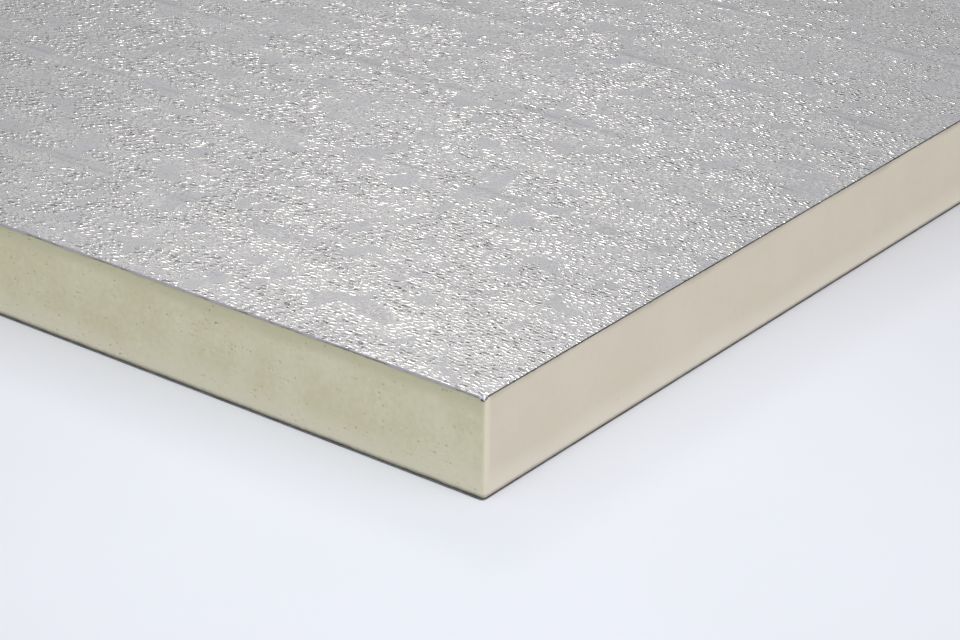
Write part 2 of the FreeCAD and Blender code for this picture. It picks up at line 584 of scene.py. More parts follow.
    def raise_relief(self, sheet: GroupSheet, cell: DashCell) -> bpy.types.NodeSocket:
        """Raises the dash of a cell above the swell and the grain of the foil.

        Args:
            sheet: The group's sheet.
            cell: The cell.

        Returns:
            The height, before anything is pressed flat.
        """
        place = sheet.given["Vector"]
        sides = sheet.parts(cell.turned)
        half_length = sheet.between(sheet.redraw(cell.draws["X"], 5.0), self.half_length)
        past = sheet.math("SUBTRACT", sheet.math("ABSOLUTE", sides["Y"]), half_length)
        beyond = sheet.math("MULTIPLY", sheet.math("MAXIMUM", past, 0.0), self.tip_slope)
        beside = sheet.math("MULTIPLY", sides["X"], self.far_flank)
        beside = sheet.math("MINIMUM", sides["X"], beside)
        away = sheet.vector("LENGTH", sheet.combine(beside, beyond))
        bold = sheet.math("POWER", sheet.redraw(cell.draws["X"], 11.0), self.bold_power)
        girth = sheet.between(bold, self.girth)
        dome = sheet.math("MULTIPLY_ADD", away, -1.0 / self.flank, girth)
        dome = sheet.math("MAXIMUM", dome, 0.0)
        in_column = sheet.ramp(sheet.math("ABSOLUTE", cell.across), self.column_rim, FALL)
        in_row = sheet.ramp(sheet.math("ABSOLUTE", cell.along), self.row_rim, FALL)
        dome = sheet.math("MULTIPLY", dome, sheet.math("MULTIPLY", in_column, in_row))
        strength = sheet.between(sheet.redraw(cell.draws["Y"], 5.0), self.strength)
        strength = sheet.math("MULTIPLY_ADD", bold, self.bold_gain, strength)
        swell = sheet.between(sheet.noise(place, self.swell_scale, detail=1.0), self.swell)
        grain = sheet.between(sheet.noise(place, self.grain_scale), self.grain)
        uneven = sheet.math("ADD", swell, grain)
        return sheet.math("ADD", sheet.math("MULTIPLY", dome, strength), uneven)

    def press(self, sheet: GroupSheet) -> bpy.types.NodeSocket:
        """Presses the foil flat on the frayed roll marks and on scattered patches.

        Args:
            sheet: The group's sheet.

        Returns:
            The mask of the flat places.
        """
        given = sheet.given
        along = sheet.parts(given["Vector"])["X"]
        half = sheet.math("MULTIPLY", given["Mark Pitch"], 0.5)
        lowest = sheet.math("MULTIPLY", half, -1.0)
        phase = sheet.math("WRAP", sheet.math("SUBTRACT", along, given["Mark Start"]), half, lowest)
        distance = sheet.math("DIVIDE", sheet.math("ABSOLUTE", phase), given["Mark Width"])
        patch = sheet.noise(given["Vector"], given["Patch Scale"])
        shrunk = sheet.math("ADD", distance, self.mark_offset)
        frayed = sheet.math("MULTIPLY_ADD", patch, -self.mark_ragged, shrunk)
        mark = sheet.ramp(frayed, self.mark_rim, FALL)
        beside = sheet.ramp(distance, self.crowd_reach, (self.crowd_gain, 0.0))
        crowded = sheet.math("ADD", patch, beside)
        return sheet.math("MAXIMUM", mark, sheet.ramp(crowded, self.patch_rim))

    def leave_relief(self, sheet: GroupSheet, pressed: bpy.types.NodeSocket) -> bpy.types.NodeSocket:
        """Leaves little of the relief on the flat places, and most of it in clusters.

        Args:
            sheet: The group's sheet.
            pressed: The mask of the flat places.

        Returns:
            The share of the relief that is left.
        """
        stretch = (1.0, self.cluster_stretch, 1.0)
        stretched = sheet.vector("MULTIPLY", sheet.given["Vector"], stretch)
        pattern = sheet.noise(stretched, self.cluster_scale, roughness=0.6)
        cluster = sheet.ramp(pattern, self.cluster_blend, self.cluster_height)
        kept = sheet.math("MULTIPLY_ADD", pressed, -self.press_depth, 1.0)
        return sheet.math("MULTIPLY", kept, cluster)

    def paint_dark_spots(self, sheet: GroupSheet, cell: DashCell) -> bpy.types.NodeSocket:
        """Puts a painted dark spot, a painted dark reflection, beside some of the dashes.

        Args:
            sheet: The group's sheet.
            cell: The cell.

        Returns:
            The mask of the painted dark spots.
        """
        away = sheet.vector("LENGTH", sheet.vector("ADD", cell.turned, self.dark_spot_place))
        chosen = sheet.math("LESS_THAN", sheet.redraw(cell.draws["Z"], 7.0), self.dark_spot_share)
        return sheet.math("MULTIPLY", chosen, sheet.ramp(away, self.dark_spot_rim, FALL))


@dataclass(frozen=True)
class FoamCells:
    """Fine closed cells of the foam, with scattered open ones, sunk in the relief, whose mask the foam
    uses to paint shade inside them.

    Attributes:
        cell_height: Height of the closed cells against the depth of an open one.
        pore_rim: Distances where an open cell starts to end and has ended, in cells.
    """

    cell_height: float = 0.5
    pore_rim: Span = (0.05, 0.16)

    def build(self) -> bpy.types.NodeTree:
        """Builds the node group.

        Returns:
            The group's tree.
        """
        sizes = ("Cell Scale", "Pore Scale", "Pore Share")
        sheet = GroupSheet(
            "Foam Cells",
            {"Vector": Socket.VECTOR, **dict.fromkeys(sizes, Socket.FLOAT)},
            {"Height": Socket.FLOAT, "Pores": Socket.FLOAT},
        )
        given = sheet.given
        cells = sheet.noise(given["Vector"], given["Cell Scale"], roughness=0.6)
        inputs = {"Vector": given["Vector"], "Scale": given["Pore Scale"]}
        pores = sheet.add("ShaderNodeTexVoronoi", inputs)
        chance = sheet.parts(pores.outputs["Color"])["X"]
        chosen = sheet.math("LESS_THAN", chance, given["Pore Share"])
        hole = sheet.ramp(pores.outputs["Distance"], self.pore_rim, FALL)
        mask = sheet.math("MULTIPLY", hole, chosen)
        height = sheet.math("SUBTRACT", sheet.math("MULTIPLY", cells, self.cell_height), mask)
        return sheet.close({"Height": height, "Pores": mask})


@dataclass(frozen=True)
class ArrisWearAndHighlight:
    """Mask of the rubbed band along each upright arris, mostly on the long side; the band also carries
    a painted highlight.

    Attributes:
        ragged_scale: Scale of the noise along the band.
        ragged: Least and greatest shift of the band by that noise.
        near: Distances past the arris, towards the long side, where the band starts and is full.
        far: Distances past the arris, along the long side, where it starts to end and has ended.
    """

    ragged_scale: float = 260.0
    ragged: Span = (-0.6 * MM, 0.6 * MM)
    near: Span = (-1.6 * MM, 1.2 * MM)
    far: Span = (1.8 * MM, 5.2 * MM)

    def build(self) -> bpy.types.NodeTree:
        """Builds the node group.

        Returns:
            The group's tree.
        """
        sheet = GroupSheet(
            "Arris Wear And Highlight",
            {"Vector": Socket.VECTOR, "Half Length": Socket.FLOAT, "Half Width": Socket.FLOAT},
            {"Mask": Socket.FLOAT},
        )
        given = sheet.given
        sides = sheet.parts(given["Vector"])
        from_end = sheet.math("SUBTRACT", given["Half Length"], sheet.math("ABSOLUTE", sides["X"]))
        from_side = sheet.math("SUBTRACT", given["Half Width"], sheet.math("ABSOLUTE", sides["Y"]))
        ragged = sheet.between(sheet.noise(given["Vector"], self.ragged_scale), self.ragged)
        around = sheet.math("ADD", sheet.math("SUBTRACT", from_end, from_side), ragged)
        rise = sheet.ramp(around, self.near)
        fall = sheet.ramp(around, self.far, FALL)
        return sheet.close({"Mask": sheet.math("MULTIPLY", rise, fall)})


class Effects:
    """The shader node groups that the finishes share, each built once."""

    def __init__(self) -> None:
        """Builds every group."""
        self.mottle = Mottle().build()
        self.embossing = Embossing().build()
        self.foam_cells = FoamCells().build()
        self.arris_wear_and_highlight = ArrisWearAndHighlight().build()


class Finish:
    """What every finish shares: a material with a Principled shader and the object's coordinates.

    Attributes:
        name: The material's name.
    """

    name: str

    def start(self) -> tuple[bpy.types.Material, NodeSheet, bpy.types.Node, bpy.types.NodeSocket]:
        """Starts the material.

        Returns:
            The material, its sheet, its shader and the socket with the object's coordinates.
        """
        material = bpy.data.materials.new(self.name)
        material.use_nodes = True
        material.node_tree.nodes.clear()
        sheet = NodeSheet(material.node_tree)
        shader = sheet.add("ShaderNodeBsdfPrincipled")
        sheet.add("ShaderNodeOutputMaterial", {"Surface": shader.outputs["BSDF"]})
        place = sheet.add("ShaderNodeTexCoord").outputs["Object"]
        return material, sheet, shader, place


@dataclass(frozen=True)
class RollMarks:
    """Cross marks that the press rolls leave on the foil at even steps along the board.

    Attributes:
        first: Place of the first mark along the board.
        last: No mark lies past this place.
        pitch: Step from mark to mark.
        width: Width of the flattened band.
        height: Height of the bead.
    """

    first: float
    last: float
    pitch: float = 97.75 * MM
    width: float = 5.0 * MM
    height: float = 0.18 * MM

    def places(self) -> np.ndarray:
        """Places of the marks along the board."""
        return np.arange(self.first, self.last, self.pitch)

    def rise(self, x: np.ndarray) -> np.ndarray:
        """Height of the beads above the face.

        Args:
            x: Places along the board.

        Returns:
            The heights.
        """
        away = (x - self.first + 0.5 * self.pitch) % self.pitch - 0.5 * self.pitch
        return self.height * np.exp(-(away / (0.5 * self.width)) ** 2)


@dataclass(frozen=True)
class EmbossedFoil(Finish):
    """Bare bright aluminium foil with a fine random embossing, with painted shade on its bent rim, on
    its flat patches and in dark spots beside some dashes.

    Attributes:
        marks: The cross marks of the press rolls.
        half_length: Half of the board's length.
        half_width: Half of its width.
        name: The material's name.
        bright: First tone of the foil.
        dull: Second tone of the foil.
        flattened_shade: Painted shade where the relief is pressed flat, standing in for its duller
            reflection.
        dark_reflection: Painted dark reflections in the spots beside some dashes.
        lip: Painted shade of the rim that is rolled over the ends, a darker copy of the foil.
        cloud_scale: Scale of the clouds of the two tones.
        grain_scale: Scale of their grain.
        dash_pitch: Width of a cell with one dash.
        dash_row: Length of a cell with one dash.
        direction: Turn of the dashes from straight across the board, in degrees.
        spread: Angle over which the dashes lean at random, in degrees.
        patch_scale: Scale of the flat patches.
        depth: Height of the relief.
        roughness: Least and greatest roughness.
        lip_roughness: Roughness that the lip has on top.
        lip_start: Distances from the end where the lip's painted shade starts and is full.
        lip_stop: Distances from the side where the lip's painted shade starts to end and has ended.
    """

    marks: RollMarks
    half_length: float
    half_width: float
    name: str = "bright_foil"
    bright: Colour = (0.86, 0.855, 0.86, 1.0)
    dull: Colour = (0.69, 0.68, 0.692, 1.0)
    flattened_shade: Colour = (0.695, 0.69, 0.715, 1.0)
    dark_reflection: Colour = (0.16, 0.16, 0.16, 1.0)
    lip: Colour = (0.46, 0.45, 0.50, 1.0)
    cloud_scale: float = 600.0
    grain_scale: float = 1500.0
    dash_pitch: float = 2.35 * MM
    dash_row: float = 5.0 * MM
    direction: float = 5.0
    spread: float = 88.0
    patch_scale: float = 58.0
    depth: float = 0.122 * MM
    roughness: Span = (0.18, 0.27)
    lip_roughness: float = 0.28
    lip_start: Span = (0.62 * MM, 0.34 * MM)
    lip_stop: Span = (2.4 * MM, 1.6 * MM)

    def make(self, effects: Effects) -> bpy.types.Material:
        """Makes the material.

        Args:
            effects: The shared node groups.

        Returns:
            The material.
        """
        material, sheet, shader, place = self.start()
        emboss = sheet.group(effects.embossing, {
            "Vector": place, "Dash Pitch": self.dash_pitch, "Dash Row": self.dash_row,
            "Direction": math.radians(self.direction), "Spread": math.radians(self.spread),
            "Patch Scale": self.patch_scale, "Mark Start": self.marks.first,
            "Mark Pitch": self.marks.pitch, "Mark Width": self.marks.width})
        tone = sheet.group(effects.mottle, {
            "Vector": place, "First Tone": self.bright, "Second Tone": self.dull,
            "Cloud Scale": self.cloud_scale, "Grain Scale": self.grain_scale})
        bump = sheet.add("ShaderNodeBump", {"Height": emboss["Height"], "Distance": self.depth})
        bent = self.rolled_rim(sheet, place)
        # Painted shade on the flat patches and roll marks, for their duller reflection.
        colour = sheet.mix(emboss["Pressed"], tone["Color"], self.flattened_shade)
        # Painted dark reflections in the spots beside some dashes.
        colour = sheet.mix(emboss["Dark Spots"], colour, self.dark_reflection)
        # Painted shade on the rolled rim: a darker copy of the foil.
        colour = sheet.mix(bent, colour, self.lip)
        rough = sheet.ramp(tone["Cloud"], RISE, self.roughness)
        rough = sheet.math("MULTIPLY_ADD", bent, self.lip_roughness, rough)
        sheet.fill(shader, {"Base Color": colour, "Roughness": rough, "Metallic": 1.0,
                            "Normal": bump.outputs["Normal"]})
        return material

    def rolled_rim(self, sheet: NodeSheet, place: bpy.types.NodeSocket) -> bpy.types.NodeSocket:
        """Finds the rim that is rolled over the ends, which gets painted shade and more roughness.

        Args:
            sheet: The material's sheet.
            place: The object's coordinates.

        Returns:
            The mask of the rim.
        """
        sides = sheet.parts(place)
        ends = tuple(self.half_length - distance for distance in self.lip_start)
        corners = tuple(self.half_width - distance for distance in self.lip_stop)
        near_end = sheet.ramp(sheet.math("ABSOLUTE", sides["X"]), ends)
        off_corner = sheet.ramp(sheet.math("ABSOLUTE", sides["Y"]), corners, FALL)
        return sheet.math("MULTIPLY", near_end, off_corner)


@dataclass(frozen=True)
class CutEdgeShade(Finish):
    """The facer's cut rim, painted dark as the shade along the foil's edge.

    Attributes:
        name: The material's name.
        dark: First tone of the rim.
        light: Second tone of the rim.
        cloud_scale: Scale of the clouds of the two tones.
        grain_scale: Scale of their grain.
        roughness: Roughness at the first tone and at the second.
    """

    name: str = "foil_cut_edge_shade"
    dark: Colour = (0.024, 0.022, 0.018, 1.0)
    light: Colour = (0.10, 0.092, 0.08, 1.0)
    cloud_scale: float = 90.0
    grain_scale: float = 500.0
    roughness: Span = (0.75, 0.55)

    def make(self, effects: Effects) -> bpy.types.Material:
        """Makes the material.

        Args:
            effects: The shared node groups.

        Returns:
            The material.
        """
        material, sheet, shader, place = self.start()
        tone = sheet.group(effects.mottle, {
            "Vector": place, "First Tone": self.dark, "Second Tone": self.light,
            "Cloud Scale": self.cloud_scale, "Grain Scale": self.grain_scale})
        rough = sheet.ramp(tone["Cloud"], RISE, self.roughness)
        sheet.fill(shader, {"Base Color": tone["Color"], "Roughness": rough})
        return material


@dataclass(frozen=True)
class Foam(Finish):
    """Matt closed-cell foam, as one of its cuts shows it.

    Attributes:
        half_length: Half of the foam's length.
        half_width: Half of its width.
        name: The material's name.
        first: First tone of the foam.
        second: Second tone of the foam.
        upper: Tone below the upper foil.
        upper_band: Heights where that tone starts and is full.
        lower: Paler tone near the floor, painted bounce light from the floor.
        floor_bounce_light_band: Heights where that painted light starts to end and has ended.
        worn_and_highlit: Tone of the rubbed arrises, partly real wear and partly a painted highlight.
        seam_glue_and_shade: Tone of the glue at the upper foil, with painted shadow under the foil's
            rim.
        seam_glue_and_shade_band: Heights where the glue and its painted shadow start and are full.
        foot: Tone near the floor, soiling with painted shade under the rounded foot.
        pore_shade: Painted shade inside the open cells.
        pore_share: Share of the cells that are open.
        grain_depth: Height of the cells.
        cloud_scale: Scale of the clouds of the two tones.
        grain_scale: Scale of their grain.
        cell_scale: Scale of the closed cells.
        pore_scale: Scale of the open cells.
        pore_shade_strength: How much of the painted shade in the open cells shows.
        wander_scale: Scale of the noise that moves the upper and lower tones.
        wander: How far that noise moves them.
        ragged_scale: Scale of the noise that moves the glue line with its painted shadow and the
            soiled, painted-shade foot.
        ragged: How far that noise moves them.
        foot_soil_and_shade_band: Heights where the soiling and painted shade near the floor start to
            end and have ended.
        roughness: Roughness at the first tone and at the second.
        shine: Strength of the surface's shine.
    """

    half_length: float
    half_width: float
    name: str
    first: Colour
    second: Colour
    upper: Colour
    upper_band: Span
    lower: Colour
    floor_bounce_light_band: Span
    worn_and_highlit: Colour
    seam_glue_and_shade: Colour
    seam_glue_and_shade_band: Span
    foot: Colour
    pore_shade: Colour
    pore_share: float
    grain_depth: float
    cloud_scale: float = 38.0
    grain_scale: float = 330.0
    cell_scale: float = 1500.0
    pore_scale: float = 420.0
    pore_shade_strength: float = 0.7
    wander_scale: float = 30.0
    wander: float = 6.0 * MM
    ragged_scale: float = 330.0
    ragged: float = 1.2 * MM
    foot_soil_and_shade_band: Span = (1.3 * MM, 3.9 * MM)
    roughness: Span = (0.82, 0.94)
    shine: float = 0.25

    def make(self, effects: Effects) -> bpy.types.Material:
        """Makes the material.

        Args:
            effects: The shared node groups.

        Returns:
            The material.
        """
        material, sheet, shader, place = self.start()
        tone = sheet.group(effects.mottle, {
            "Vector": place, "First Tone": self.first, "Second Tone": self.second,
            "Cloud Scale": self.cloud_scale, "Grain Scale": self.grain_scale})
        cells = sheet.group(effects.foam_cells, {
            "Vector": place, "Cell Scale": self.cell_scale, "Pore Scale": self.pore_scale,
            "Pore Share": self.pore_share})
        wear_and_highlight = sheet.group(effects.arris_wear_and_highlight, {
            "Vector": place, "Half Length": self.half_length, "Half Width": self.half_width})
        height = sheet.parts(place)["Z"]
        wander = sheet.noise(place, self.wander_scale)
        wander = sheet.math("MULTIPLY_ADD", wander, self.wander, height)
        ragged = sheet.noise(place, self.ragged_scale)
        ragged = sheet.math("MULTIPLY_ADD", ragged, self.ragged, height)
        # Open cells are painted darker as shade inside them.
        pores = sheet.math("MULTIPLY", cells["Pores"], self.pore_shade_strength)
        colour = tone["Color"]
        for share, layer in (
            (sheet.ramp(wander, self.upper_band), self.upper),
            # Paler near the floor: painted bounce light from the floor.
            (sheet.ramp(wander, self.floor_bounce_light_band, FALL), self.lower),
            # Lighter arris band: partly rubbed wear, partly a painted highlight.
            (wear_and_highlight["Mask"], self.worn_and_highlit),
            # Dark band under the upper foil: glue, with painted shadow under the foil's rim.
            (sheet.ramp(ragged, self.seam_glue_and_shade_band), self.seam_glue_and_shade),
            # Darker near the floor: soiling, with painted shade under the rounded foot.
            (sheet.ramp(ragged, self.foot_soil_and_shade_band, FALL), self.foot),
            # Darker open cells: painted shade inside them.
            (pores, self.pore_shade),
        ):
            colour = sheet.mix(share, colour, layer)
        bump = sheet.add("ShaderNodeBump", {"Height": cells["Height"], "Distance": self.grain_depth})
        rough = sheet.ramp(tone["Cloud"], RISE, self.roughness)
        sheet.fill(shader, {"Base Color": colour, "Roughness": rough, "Specular IOR Level": self.shine,
                            "Normal": bump.outputs["Normal"]})
        return material


@dataclass(frozen=True)
class PaleFloorPaintedFalloff(Finish):
    """Smooth white surface that the board lies on, with a painted falloff of light: palest around the
    near corner and darker away from it.

    Attributes:
        centre: Place around which the floor is painted palest, as a pool of light.
        name: The material's name.
        near: First tone around that place.
        second: Second tone around that place.
        far: Painted shade of the floor away from that place.
        fade: Distances where that painted shade starts and is full.
        cloud_scale: Scale of the clouds of the two near tones.
        grain_scale: Scale of their grain.
        roughness: Roughness of the floor.
        shine: Strength of its shine.
    """

    centre: Vector
    name: str = "pale_floor_painted_falloff"
    near: Colour = (0.82, 0.845, 0.91, 1.0)
    second: Colour = (0.80, 0.825, 0.885, 1.0)
    far: Colour = (0.69, 0.70, 0.745, 1.0)
    fade: Span = (0.08, 0.55)
    cloud_scale: float = 2.0
    grain_scale: float = 9.0
    roughness: float = 0.75
    shine: float = 0.2

    def make(self, effects: Effects) -> bpy.types.Material:
        """Makes the material.

        Args:
            effects: The shared node groups.

        Returns:
            The material.
        """
        material, sheet, shader, place = self.start()
        tone = sheet.group(effects.mottle, {
            "Vector": place, "First Tone": self.near, "Second Tone": self.second,
            "Cloud Scale": self.cloud_scale, "Grain Scale": self.grain_scale})
        away = sheet.vector("LENGTH", sheet.vector("SUBTRACT", place, self.centre))
        # Painted falloff of light: the floor darkens away from the near corner.
        colour = sheet.mix(sheet.ramp(away, self.fade), tone["Color"], self.far)
        sheet.fill(shader, {"Base Color": colour, "Roughness": self.roughness,
                            "Specular IOR Level": self.shine})
        return material


@dataclass(frozen=True)
class BoardSize:
    """The board's box and the levels between its pieces, read from the frame.

    Attributes:
        half_length: Half of the board's length.
        half_width: Half of its width.
        top: Height of the upper foil's face.
        foam_low: Height of the foam's underside.
        foam_high: Height of the foam's upper side.
        arris_radius: Radius of the rounded upright arrises.
        crush_drop: How far the top of each corner is pressed down.
        crush_reach: How far from its lowest point a crushed corner reaches.
        crush_place: The lowest point's distances from the end and from the side.
    """

    half_length: float
    half_width: float
    top: float
    foam_low: float
    foam_high: float
    arris_radius: float = 2.0 * MM
    crush_drop: float = 1.9 * MM
    crush_reach: float = 2.3 * MM
    crush_place: Span = (0.6 * MM, 0.4 * MM)

    @classmethod
    def from_frame(cls) -> "BoardSize":
        """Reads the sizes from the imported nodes.

        Returns:
            The board's sizes.
        """
        _, upper_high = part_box("top_facer")
        foam_low, foam_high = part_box("foam_core")
        return cls(upper_high.x, upper_high.y, upper_high.z, foam_low.z, foam_high.z)

    def corner_crush(self, x: np.ndarray, y: np.ndarray) -> np.ndarray:
        """How far the board's top is pressed down near its corners.

        Args:
            x: Places along the board.
            y: Places across the board.

        Returns:
            The drops.
        """
        from_end = self.half_length - self.crush_place[0] - np.abs(x)
        from_side = self.half_width - self.crush_place[1] - np.abs(y)
        share = np.clip(1.0 - np.hypot(from_end, from_side) / self.crush_reach, 0.0, 1.0)
        return self.crush_drop * share


@dataclass
class Piece:
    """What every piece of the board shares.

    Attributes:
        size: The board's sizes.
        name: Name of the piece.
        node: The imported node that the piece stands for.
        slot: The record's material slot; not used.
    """

    size: BoardSize
    name: str
    node: str
    slot: str

    def join(self, made: bpy.types.Object) -> bpy.types.Object:
        """Ties the piece to the board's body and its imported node.

        Args:
            made: The piece's object.

        Returns:
            The same object.
        """
        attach(made, BODY)
        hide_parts(self.node)
        return made


class WallRow(NamedTuple):
    """One row of points around the foam's wall.

    Attributes:
        height: Height of the row, or its distance from the foam's nearest level side.
        side: Set-back on the long sides.
        end: Set-back on the ends.
        chips: Share of the chips along the ends' foot.
        crush: Share of the crushed corners.
    """

    height: float
    side: float = 0.0
    end: float = 0.0
    chips: float = 0.0
    crush: float = 0.0


@dataclass
class FoamCore(Piece):
    """The rigid foam slab, with pits torn open on its sawn ends and a ragged gap along its foot.

    Attributes:
        end_recess: How far the sawn ends stand back behind the foil's lip.
        side_recess: How far the long sides stand back behind the foil's cut rim.
        end_cell: Width of the squares that the ends are divided into.
        side_cell: Width of the squares that the long sides are divided into.
        level_step: Height of the squares.
        arc_steps: Steps around an upright arris.
        crease: Angle in radians above which an edge stays sharp.
        sawn_from: How squarely a face looks along the board, from 0 to 1, where the sawn finish starts.
        saw_depth: How far the saw cut stands back on top of the recess.
        ripple: Depth of the saw's ripples.
        ripples: Field of the saw's ripples.
        chip_height: Height of the small chips along the ends' foot.
        chips: Field of the small chips.
        break_height: Height of the few larger breaks there.
        breaks: Field of the larger breaks.
        crowding: How much the pits gather in clusters.
        crowding_limits: Least and greatest crowding.
        clusters: Field of the clusters.
        pit_chance: Share of the squares with a pit, by cut.
        pit_radius: Smallest and largest radius of a pit.
        pit_rarity: How much rarer large pits are than small ones.
        pit_depth: Least and greatest depth of a pit, in radii.
        pit_stretch: Least and greatest stretch of a pit.
        pit_ragged: Least and greatest reach of a pit's rim.
        crumb_share: Share of the pits that are raised crumbs instead.
        crumb_height: Height of a crumb, in radii.
        seed: Start of the random pits.
        END_SHIFT: How far apart the two ends lie in the random fields, for each metre between them.
        PIT_SIDES: Points around a pit.
        PIT_RINGS: Reach of each ring of a pit, in radii, and its share of the depth.
        PIT_ROOM: Reach that a pit keeps free inside its square, in radii.
        FOOT: Rows of the wall from the foam's underside up, in millimetres.
        HEAD: Rows of the wall up to the foam's upper side, in millimetres.
    """

    end_recess: float = 0.60 * MM
    side_recess: float = 0.05 * MM
    end_cell: float = 2.2 * MM
    side_cell: float = 4.5 * MM
    level_step: float = 2.7 * MM
    arc_steps: int = 8
    crease: float = math.radians(50.0)
    sawn_from: float = 0.5
    saw_depth: float = 0.09 * MM
    ripple: float = 0.06 * MM
    ripples: Waviness = Waviness(4107, 14.0 * MM, 90.0 * MM)
    chip_height: float = 0.13 * MM
    chips: Waviness = Waviness(4109, 3.5 * MM, 11.0 * MM)
    break_height: float = 0.45 * MM
    breaks: Waviness = Waviness(4110, 12.0 * MM, 60.0 * MM)
    crowding: float = 0.6
    crowding_limits: Span = (0.15, 2.2)
    clusters: Waviness = Waviness(4108, 20.0 * MM, 70.0 * MM)
    pit_chance: dict[Cut, float] = field(
        default_factory=lambda: {Cut.SAWN: 0.24, Cut.TRIMMED: 0.004, Cut.ARRIS: 0.0})
    pit_radius: Span = (0.20 * MM, 0.70 * MM)
    pit_rarity: float = 2.0
    pit_depth: Span = (0.6, 1.2)
    pit_stretch: Span = (1.0, 1.45)
    pit_ragged: Span = (0.86, 1.12)
    crumb_share: float = 0.25
    crumb_height: float = 0.5
    seed: int = 4107

    END_SHIFT: ClassVar[float] = 0.01
    PIT_SIDES: ClassVar[int] = 8
    PIT_RINGS: ClassVar[tuple[Span, ...]] = ((1.22, 0.0), (1.0, 0.14), (0.68, 0.78))
    PIT_ROOM: ClassVar[float] = 1.3
    FOOT: ClassVar[tuple[WallRow, ...]] = (
        WallRow(0.00, side=3.60, end=3.60),
        WallRow(0.20, side=0.62, end=0.62, chips=0.3),
        WallRow(0.40, side=0.36, end=0.40, chips=0.8),
        WallRow(0.80, side=0.16, end=0.20, chips=1.0),
        WallRow(1.40, side=0.05, end=0.07, chips=0.8),
        WallRow(2.10, chips=0.4),
    )
    HEAD: ClassVar[tuple[WallRow, ...]] = (
        WallRow(1.90, crush=0.8),
        WallRow(0.60, crush=1.0),
        WallRow(0.28, side=0.02, end=0.20, crush=1.1),
        WallRow(0.32, side=0.50, end=0.60, crush=1.1),
        WallRow(0.44, side=1.70, end=1.90, crush=1.1),
        WallRow(0.44, side=4.0, end=4.0, crush=1.0),
    )

    def outline(self) -> tuple[np.ndarray, np.ndarray, list[Cut]]:
        """Walks once around the foam, anticlockwise from above.

        Returns:
            Points, outward directions, and the cut that each step belongs to.
        """
        radius = self.size.arris_radius
        straight_x = self.size.half_length - self.end_recess - radius
        straight_y = self.size.half_width - self.side_recess - radius
        runs = (
            ((-1, -1), (1, 0), straight_x, Cut.TRIMMED),
            ((1, -1), (0, 1), straight_y, Cut.SAWN),
            ((1, 1), (-1, 0), straight_x, Cut.TRIMMED),
            ((-1, 1), (0, -1), straight_y, Cut.SAWN),
        )
        points: list[np.ndarray] = []
        facing: list[np.ndarray] = []
        cuts: list[Cut] = []
        for corner, heading, half, cut in runs:
            centre = np.array(corner) * (straight_x, straight_y)
            out = np.array((heading[1], -heading[0]), float)
            width = self.end_cell if cut is Cut.SAWN else self.side_cell
            steps = round(2.0 * half / width)
            for along in np.linspace(0.0, 2.0 * half, steps, endpoint=False):
                points.append(centre + np.array(heading) * along + out * radius)
                facing.append(out)
                cuts.append(cut)
            pivot = centre + np.array(heading) * 2.0 * half
            first = math.atan2(out[1], out[0])
            for angle in np.linspace(first, first + math.pi / 2.0, self.arc_steps, endpoint=False):
                spoke = np.array((math.cos(angle), math.sin(angle)))
                points.append(pivot + spoke * radius)
                facing.append(spoke)
                cuts.append(Cut.ARRIS)
        return np.array(points), np.array(facing), cuts

    def levels(self) -> tuple[list[WallRow], int, int]:
        """Lists the rows of the wall from the underside up.

        Returns:
            The rows in metres, and the first and last row of the plain wall.
        """
        low = self.size.foam_low
        high = self.size.foam_high
        rows = [WallRow(low + row.height * MM, row.side * MM, row.end * MM, chips=row.chips)
                for row in self.FOOT]
        lowest = rows[-1].height
        highest = high - self.HEAD[0].height * MM
        steps = round((highest - lowest) / self.level_step)
        first = len(rows) - 1
        rows += [WallRow(height) for height in np.linspace(lowest, highest, steps + 1)[1:-1]]
        last = len(rows)
        rows += [WallRow(high - row.height * MM, row.side * MM, row.end * MM, crush=row.crush)
                 for row in self.HEAD]
        return rows, first, last

    def walls(self, points: np.ndarray, facing: np.ndarray, rows: Sequence[WallRow]) -> np.ndarray:
        """Places the points of the walls.

        Args:
            points: The outline.
            facing: Directions out of the outline.
            rows: The rows of the wall.

        Returns:
            Coordinates by row and step around the outline.
        """
        endness = facing[:, 0] ** 2
        sawn = smooth_step(self.sawn_from, 1.0, np.abs(facing[:, 0]))
        shift = points[:, 0] * self.END_SHIFT
        small = np.clip(self.chips.at(points[:, 1], shift), -1.2, 2.0)
        large = np.clip(self.breaks.at(points[:, 1], shift) - 1.0, 0.0, 1.0)
        chips = sawn * (self.chip_height * small + self.break_height * large)
        crush = self.size.corner_crush(points[:, 0], points[:, 1])
        places = []
        for row in rows:
            uneven = self.ripples.at(points[:, 1], np.full(len(points), row.height))
            ripple = self.ripple * np.clip(uneven, -1.5, 1.5)
            back = row.side + (row.end - row.side) * endness + sawn * (self.saw_depth + ripple)
            level = row.height + row.chips * chips - row.crush * crush
            places.append(np.column_stack((points - facing * back[:, None], level)))
        return np.array(places)

